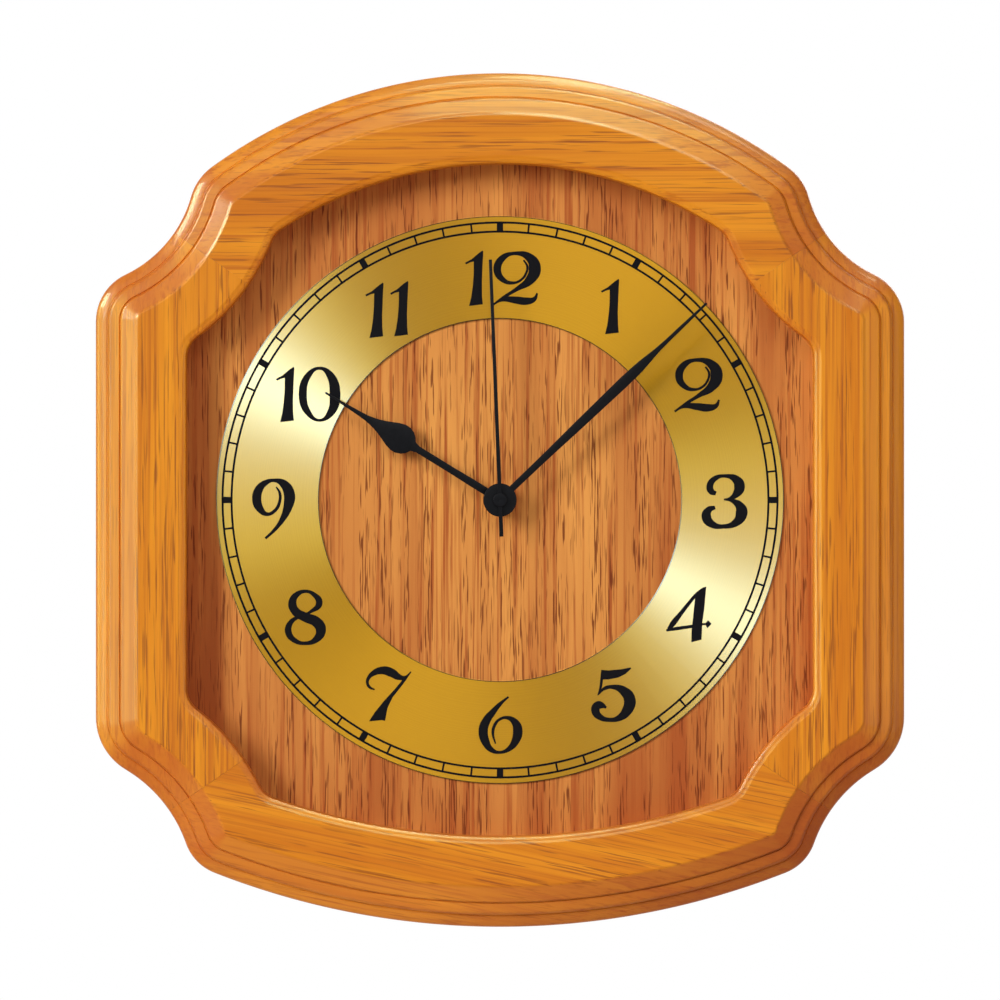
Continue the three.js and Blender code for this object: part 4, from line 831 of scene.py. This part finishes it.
# Each width is (distance from the axis, half width) in mm.
HOUR_WIDTHS = [(0, 1.45), (12, 1.45), (20, 1.3), (36, 1.3), (38.2, 1.9), (39.2, 3.4), (40.7, 4.7),
               (42.8, 5.5), (44.8, 5.55), (47.2, 4.85), (49.6, 3.8), (51.9, 2.85), (54.2, 2.05),
               (56.5, 1.5), (58.8, 1.1), (61.5, 0.9), (65, 0.72), (70, 0.52), (76.8, 0.35)]
MINUTE_WIDTHS = [(0, 1.2), (8, 1.25), (19, 1.32), (26, 1.4), (34, 1.58), (42, 1.74), (52, 1.88),
                 (58, 1.97), (63.7, 2.05), (68.5, 1.98), (72, 1.86), (75.5, 1.55), (79, 1.2),
                 (82, 0.95), (86, 0.78), (95, 0.66), (106.8, 0.45)]
SECOND_WIDTHS = [(-13.7, 0.75), (0, 0.75), (90, 0.62)]


def hand(name, body, node, widths, z, thick, turn, hub):
    """A hand at height z, turned by degrees, with a round hub of this radius."""
    right, left = [(h, r) for r, h in widths], [(-h, r) for r, h in reversed(widths)]
    blade = flat_plate(right + left, (0, 0), z, z + thick)
    boss = turned("boss", soft_section(0.0, hub, z, z + HUB_HIGH, HUB_SOFT), 96)
    turn_clockwise(joined([blade, boss], name), turn)
    soften = blade.modifiers.new("soften", "BEVEL")
    soften.width, soften.segments, soften.limit_method = EDGE_EASE * MM, 2, "ANGLE"
    bpy.ops.object.modifier_apply(modifier=soften.name)
    finish(blade, body, [node], black)
    print(name, len(blade.data.polygons), "faces")


# Piece, body, CAD node, widths, height, thickness, turn and hub.
hand("black_hour_hand", "hours", "hour_hand", HOUR_WIDTHS, 35.6, 0.6, 301.6, 5.2)
hand("black_minute_hand", "minutes", "minute_hand", MINUTE_WIDTHS, 40.0, 0.6, 46.4, 6.25)
hand("black_second_hand", "seconds", "second_hand", SECOND_WIDTHS, 42.0, 0.4, 357.7, 2.6)

# %% [markdown]
# ## Metals and plastics of the back
# Behind the dial everything is plain stock: zinc-plated steel, turned brass, soft iron, copper
# wire, black and white moulded plastic. Each is one colour broken up by the marks of how it was
# made, which a fine noise on the colour, the roughness and the surface gives.

# %% Stock finishes
brushed = (150, 3000, 3000)
wound = (3000, 3000, 6000)
# Name, two tones, roughness, metallic, and the scale and depth of the marks.
zinc = stock("zinc_plate", srgb(142, 144, 148), srgb(170, 172, 176), 0.36, 1.0, brushed, 0.01)
brass = stock("turned_brass", srgb(178, 132, 52), srgb(198, 154, 70), 0.3, 1.0, fine, 0.01)
iron = stock("soft_iron", srgb(104, 104, 108), srgb(128, 128, 130), 0.42, 1.0, brushed, 0.01)
wire = stock("copper_wire", srgb(150, 70, 32), srgb(196, 104, 54), 0.35, 1.0, wound, 0.05)
moulded = stock("black_plastic", srgb(26, 27, 29), srgb(34, 35, 37), 0.5, 0.0, fine, 0.03)
nylon = stock("white_plastic", srgb(212, 210, 202), srgb(226, 224, 217), 0.45, 0.0, fine, 0.01)
rubber = stock("rubber", srgb(22, 22, 22), srgb(30, 30, 30), 0.75, 0.0, fine, 0.03)
board = stock("circuit_board", srgb(30, 84, 50), srgb(42, 102, 62), 0.4, 0.0, medium, 0.01)
LOOKS = {
    zinc: ["second_wheel", "crystal"],
    brass: ["centre_wheel", "minute_pipe", "threaded_bush"],
    iron: ["rotor", "stator"],
    wire: ["coil"],
    moulded: ["chip"],
    nylon: ["middle_plate", "intermediate_wheel", "third_wheel", "minute_wheel", "hour_wheel"],
    rubber: ["rubber_washer"],
    board: ["circuit_board"],
    oak_stile: ["spline_top_left", "spline_top_right", "spline_bottom_left", "spline_bottom_right"],
}
for look, names in LOOKS.items():
    for name in names:
        dress(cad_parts[name], look)
print("inside pieces dressed:", sum(len(names) for names in LOOKS.values()))

# %% [markdown]
# ## The movement's box
# The movement is a moulded box with a bay for the cell. Mould makers round every edge that a hand
# meets, and leave a low collar round the setting knob and a plus and a minus by the bay. The box's
# own CAD mesh has the right walls and bosses, so a copy of it is merged and kept only where it lies
# inside a block with rounded edges, and the collar and marks are added.

# %% Ease the box
BACK, COLLAR_BACK, SIGN_BACK = 9.6, 9.1, 9.2
COVER_FRONT, KNOB_BACK = 25, 5.45
KNOB = (8.907, 10.615)


def merged(name, node):
    """A copy of a CAD node with its loose triangles joined up."""
    obj = placed(name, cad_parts[node].data.copy())
    with editing(obj):
        bpy.ops.mesh.remove_doubles(threshold=WELD)
    return obj


def eased(name, node, width, chosen, segments=3):
    """A copy of a CAD node with its flat faces whole and some of its edges rounded."""
    obj = merged(name, node)
    with editing(obj):
        bpy.ops.mesh.dissolve_limited(angle_limit=math.radians(1))
    ease(obj, chosen, width, segments)
    return obj


def level(z):
    """A test for edges that lie at one distance from the wall."""
    return lambda u, v: abs(u.y + z * MM) < WELD and abs(v.y + z * MM) < WELD


box = merged("movement_box", "movement_case")
mould = slab("mould", (-28, -34.05, BACK), (28, 22.05, 30), 4.05, 8)
ease(mould, level(BACK), 0.7, 4)
carve(box, mould, "INTERSECT")
collar_line = [(5.7, BACK), (5.9, COLLAR_BACK), (6.7, COLLAR_BACK), (7.0, BACK)]
collar = turned("collar", collar_line, 64, at(*KNOB, 0))
minus = slab("minus", (19.5, -14.4, SIGN_BACK), (23.5, -13.6, BACK))
plus = slab("plus", (-23.5, -14.4, SIGN_BACK), (-19.5, -13.6, BACK))
stem = slab("plus_stem", (-21.9, -16, SIGN_BACK), (-21.1, -12, BACK))
joined([box, collar, minus, plus, stem], "movement_box")
finish(box, "case", ["movement_case"], moulded)
lid = eased("movement_lid", "front_cover", 0.3, level(COVER_FRONT))
finish(lid, "case", ["front_cover"], moulded)
knob = eased("ribbed_knob", "set_knob", 0.12, level(KNOB_BACK), 2)
finish(knob, "setting", ["set_knob"], moulded)
print("box:", len(box.data.polygons), "faces")

# %% [markdown]
# ## The cell
# The cell is drawn steel in a plastic sleeve, rolled in at both ends, with a nub at the plus end.
# All of it is round, so its outline is spun about its length. The sleeve is plain, with a pale band
# at the plus end.

# %% Spin the cell
CELL = at(0, -25.1, 16.1)
BAND_END, SLEEVE_MIDDLE, SLEEVE_HALF = -13, 0.75, 23.7
cell_line = [(0, 25.15), (5.2, 25.15), (5.5, 24.95), (6.1, 24.95), (6.6, 25.1), (6.95, 24.9),
             (7.1, 24.4), (7.1, -22.9), (6.95, -23.4), (6.5, -23.75), (6.0, -23.6), (5.7, -23.35),
             (3.0, -23.35), (2.75, -23.6), (2.75, -24.9), (2.5, -25.15), (0, -25.15)]
cell = turned("dry_cell", cell_line, 64, CELL, RIGHT, UP, closed=False)


def sleeve():
    """A dark film with a pale band, and bare steel beyond its ends."""
    t = Tree("cell_sleeve", roughness=0.32)
    x = t.split(t.coords())["X"]
    band = t.math("LESS_THAN", x, BAND_END * MM)
    specks = t.ramp(t.noise(medium, 3), 0.3, 0.7, srgb(38, 52, 70), srgb(46, 62, 82))
    film = t.mix(band, specks, srgb(196, 197, 196))
    off_middle = t.math("ABSOLUTE", t.math("ADD", x, -SLEEVE_MIDDLE * MM))
    bare = t.math("GREATER_THAN", off_middle, SLEEVE_HALF * MM)
    t.color(t.mix(bare, film, srgb(176, 177, 180)))
    t.links.new(bare, t.shader.inputs["Metallic"])
    t.rough(t.noise((1800, 1800, 1800), 3), 0.3, 0.7, 0.28, 0.36)
    return t.material


finish(cell, "battery", ["battery_cell"], sleeve())
for end in ("plus", "minus"):
    strip = eased("strip_" + end, "contact_" + end, 0.2, lambda u, v: True, 2)
    finish(strip, "case", ["contact_" + end], zinc)
print("cell:", len(cell.data.polygons), "faces")

# %% [markdown]
# ## Hanger, screws and nut
# The clock hangs on a stamped keyhole plate let into the top rail. Two screws hold the plate and
# six hold the dial panel, all slotted pan heads. One screw of each size is turned and slotted, and
# copies of it are set where the CAD screws are. The nut and washer in front of the dial clamp the
# movement.

# %% Hardware
HANGER_BACK, PANEL_BACK, NUT_FRONT = 2, 27, 34.2
SLOT_HALF, SLOT_DEPTH = 0.32, 0.7
plate = eased("keyhole_plate", "hanger_plate", 0.25, level(HANGER_BACK))
finish(plate, "case", ["hanger_plate"], zinc)


def slotted_screw(head, high, shank):
    """A screw with its seat at the hands' axis and its head towards the wall."""
    crown = [(0, -high), (0.5 * head, 0.04 - high), (0.8 * head, 0.2 - high)]
    crown += [(0.95 * head, 0.5 - high), (head, 0.9 - high), (head, -0.1), (head - 0.1, 0)]
    screw = turned("screw", crown + [(shank, 0), (shank, 10.5), (0, 12)], 48, closed=False)
    low, top = (-head - 1, -SLOT_HALF, -high - 1), (head + 1, SLOT_HALF, SLOT_DEPTH - high)
    carve(screw, slab("slot", low, top))
    return screw


def set_screw(model, node, seat):
    """A copy of the screw at the place of a CAD screw, seated at a distance from the wall."""
    corners = [Vector(c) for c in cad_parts[node].bound_box]
    centre = sum(corners, Vector()) / 8
    copy = duplicate(model)
    copy.name = copy.data.name = "pan_" + node
    with editing(copy):
        bpy.ops.transform.translate(value=Vector((centre.x, -seat * MM, centre.z)) - AXIS)
    return finish(copy, "case", [node], zinc)


panel_screw, plate_screw = slotted_screw(2.5, 1.6, 1.2), slotted_screw(2.75, 1.5, 1.25)
screws = [set_screw(panel_screw, f"panel_screw_{i + 1}", PANEL_BACK) for i in range(6)]
screws += [set_screw(plate_screw, f"hanger_screw_{i + 1}", HANGER_BACK) for i in range(2)]
bpy.data.objects.remove(panel_screw)
bpy.data.objects.remove(plate_screw)
nut = eased("clamp_nut", "hex_nut", 0.3, level(NUT_FRONT), 2)
finish(nut, "case", ["hex_nut"], brass)
washer = turned("clamp_washer", soft_section(4.1, 6, DIAL_FACE, 31.6, 0.1), 96)
finish(washer, "case", ["washer"], brass)
print("screws set:", len(screws))

# %% [markdown]
# ## Light, floor and camera
# A catalogue picture of a clock is taken straight on with a long lens, one broad soft light from
# the upper left and a bright room all round. The world is plain light for the wood, and white where
# the camera or a reflection looks past the clock. A photographer also sets small lamps and cards
# for the gleams on lacquer and metal alone. Those are lamps with their diffuse light turned off,
# linked to the frame or to the ring. The floor is a pale sheet below.

# %% Studio
world = bpy.data.worlds.new("studio")
bpy.context.scene.world = world
world.use_nodes = True
nodes, links = world.node_tree.nodes, world.node_tree.links


def either(a, b):
    """1 where one of two values is 1."""
    made = nodes.new("ShaderNodeMath")
    made.operation = "MAXIMUM"
    links.new(a, made.inputs[0])
    links.new(b, made.inputs[1])
    return made.outputs[0]


def background(node, colour, strength):
    node.inputs["Color"].default_value, node.inputs["Strength"].default_value = colour, strength
    return node.outputs[0]


ray = nodes.new("ShaderNodeLightPath").outputs
seen = either(either(ray["Is Camera Ray"], ray["Is Glossy Ray"]), ray["Is Transmission Ray"])
plain = background(nodes["Background"], (1, 0.78, 0.66, 1), 0.25)
white = background(nodes.new("ShaderNodeBackground"), grey(1), 1.0)
blend = nodes.new("ShaderNodeMixShader")
for i, socket in enumerate((seen, plain, white)):
    links.new(socket, blend.inputs[i])
links.new(blend.outputs[0], nodes["World Output"].inputs["Surface"])
print("world nodes:", len(nodes))

# %% Lamps
AIM_OFF_WALL = 30
GLEAM_DISTANCE = 4.0
middle = at(0, 0, AIM_OFF_WALL)


def softbox(name, direction, distance, width, height, energy):
    """A soft lamp that faces the clock; sizes in metres, energy in watts."""
    lamp = bpy.data.lights.new(name, "AREA")
    lamp.shape, lamp.size, lamp.size_y, lamp.energy = "RECTANGLE", width, height, energy
    obj = placed(name, lamp)
    aim = Vector(direction).normalized()
    obj.location = middle + aim * distance
    obj.rotation_mode = "QUATERNION"
    obj.rotation_quaternion = aim.to_track_quat("Z", "Y")
    return obj


def gleam(pieces, tint, name, direction, width, height, energy):
    """A lamp that shows only as a gleam, and only on the pieces given."""
    lamp = softbox(name, direction, GLEAM_DISTANCE, width, height, energy)
    lamp.visible_diffuse, lamp.data.color = False, tint
    lit = bpy.data.collections.new(lamp.name)
    for piece in pieces:
        lit.objects.link(piece)
    lamp.light_linking.receiver_collection = lit


# Name, direction, distance, width, height and energy.
softbox("key", (-1.1, -1.0, 0.5), 7.0, 1.65, 3.3, 356)
softbox("top", (0.05, -1.0, 0.65), 4.0, 3.0, 1.75, 40)
softbox("fill", (1.0, -1.0, 0.15), 4.0, 2.7, 2.7, 17)
softbox("rear", (0.5, 1.0, 0.6), 3.0, 2.2, 2.2, 70)
straw, cream, pale = (0.55, 1.0, 0.45), (1.0, 0.95, 0.7), (0.55, 0.9, 1.0)
# Tint, name, direction, width, height and energy.
FRAME_GLEAMS = [
    (straw, "key_gleam", (-1.0, -1.0, 0.2), 3.6, 2.2, 235),
    (straw, "top_gleam", (0.09, -1.0, 0.9), 1.6, 2.9, 197),
    (straw, "left_line", (-1.0, -0.14, 0.1), 1.0, 2.4, 135),
    ((0.62, 1.0, 0.6), "top_line", (0.23, -0.14, 1.0), 2.6, 1.0, 420),
    (cream, "arch_line", (0.65, -1.0, 1.9), 2.0, 0.9, 110),
    ((0.85, 1.0, 0.7), "corner_line", (-2.75, -1.0, 1.4), 1.1, 1.1, 300),
    ((0.8, 1.0, 0.6), "sill_line", (0.0, -1.0, 1.19), 1.2, 0.6, 80),
    ((0.8, 1.0, 0.8), "jamb_line", (-1.19, -1.0, 0.0), 0.5, 1.2, 26),
    ((1.0, 0.95, 0.75), "right_gleam", (1.2, -1.0, 0.0), 3.0, 1.8, 20),
]
RING_GLEAMS = [
    (pale, "ring_gleam", (-0.9, -1.0, 0.44), 0.47, 0.47, 3900),
    ((0.8, 1.0, 0.5), "ring_flank", (-1.0, -1.0, 0.1), 0.7, 0.7, 700),
    ((0.88, 1.0, 0.0), "ring_shoulder", (-0.73, -1.0, 0.68), 0.5, 0.5, 490),
    ((0.88, 1.0, 0.2), "ring_low", (-0.98, -1.0, -0.17), 0.5, 0.5, 545),
    ((1.0, 0.74, 0.08), "ring_top", (0.38, -1.0, 0.8), 2.6, 1.6, 1150),
]
for lamp in FRAME_GLEAMS:
    gleam(members.values(), *lamp)
for lamp in RING_GLEAMS:
    gleam([ring], *lamp)
print("lamps:", len(bpy.data.lights))

# %% Floor and camera
FLOOR = -560
DISTANCE, PICTURE_WIDTH, SENSOR = 3.0, 0.375, 36.0
PICTURE_PLANE = 33  # mm off the wall, where the picture is PICTURE_WIDTH metres wide

below = at(0, FLOOR, AIM_OFF_WALL)
bpy.ops.mesh.primitive_circle_add(vertices=96, radius=0.9, fill_type="NGON", location=below)
floor = bpy.context.active_object
floor.name = "floor"
dress(floor, stock("pale_floor", grey(0.84), grey(0.86), 0.8, 0.0, (500, 500, 500)))

lens = bpy.data.cameras.new("camera")
lens.sensor_width, lens.lens = SENSOR, SENSOR * DISTANCE / PICTURE_WIDTH
lens.clip_start, lens.clip_end = 0.1, 20
camera = placed("camera", lens)
camera.location = at(0, 0, PICTURE_PLANE + DISTANCE / MM)
camera.rotation_euler = (math.pi / 2, 0, 0)
scene = bpy.context.scene
scene.camera = camera
scene.view_settings.view_transform = "Standard"
print("camera at", tuple(round(v, 3) for v in camera.location))

# %% [markdown]
# ## Size
# The fine pieces must stay inside the space that the CAD model takes up.
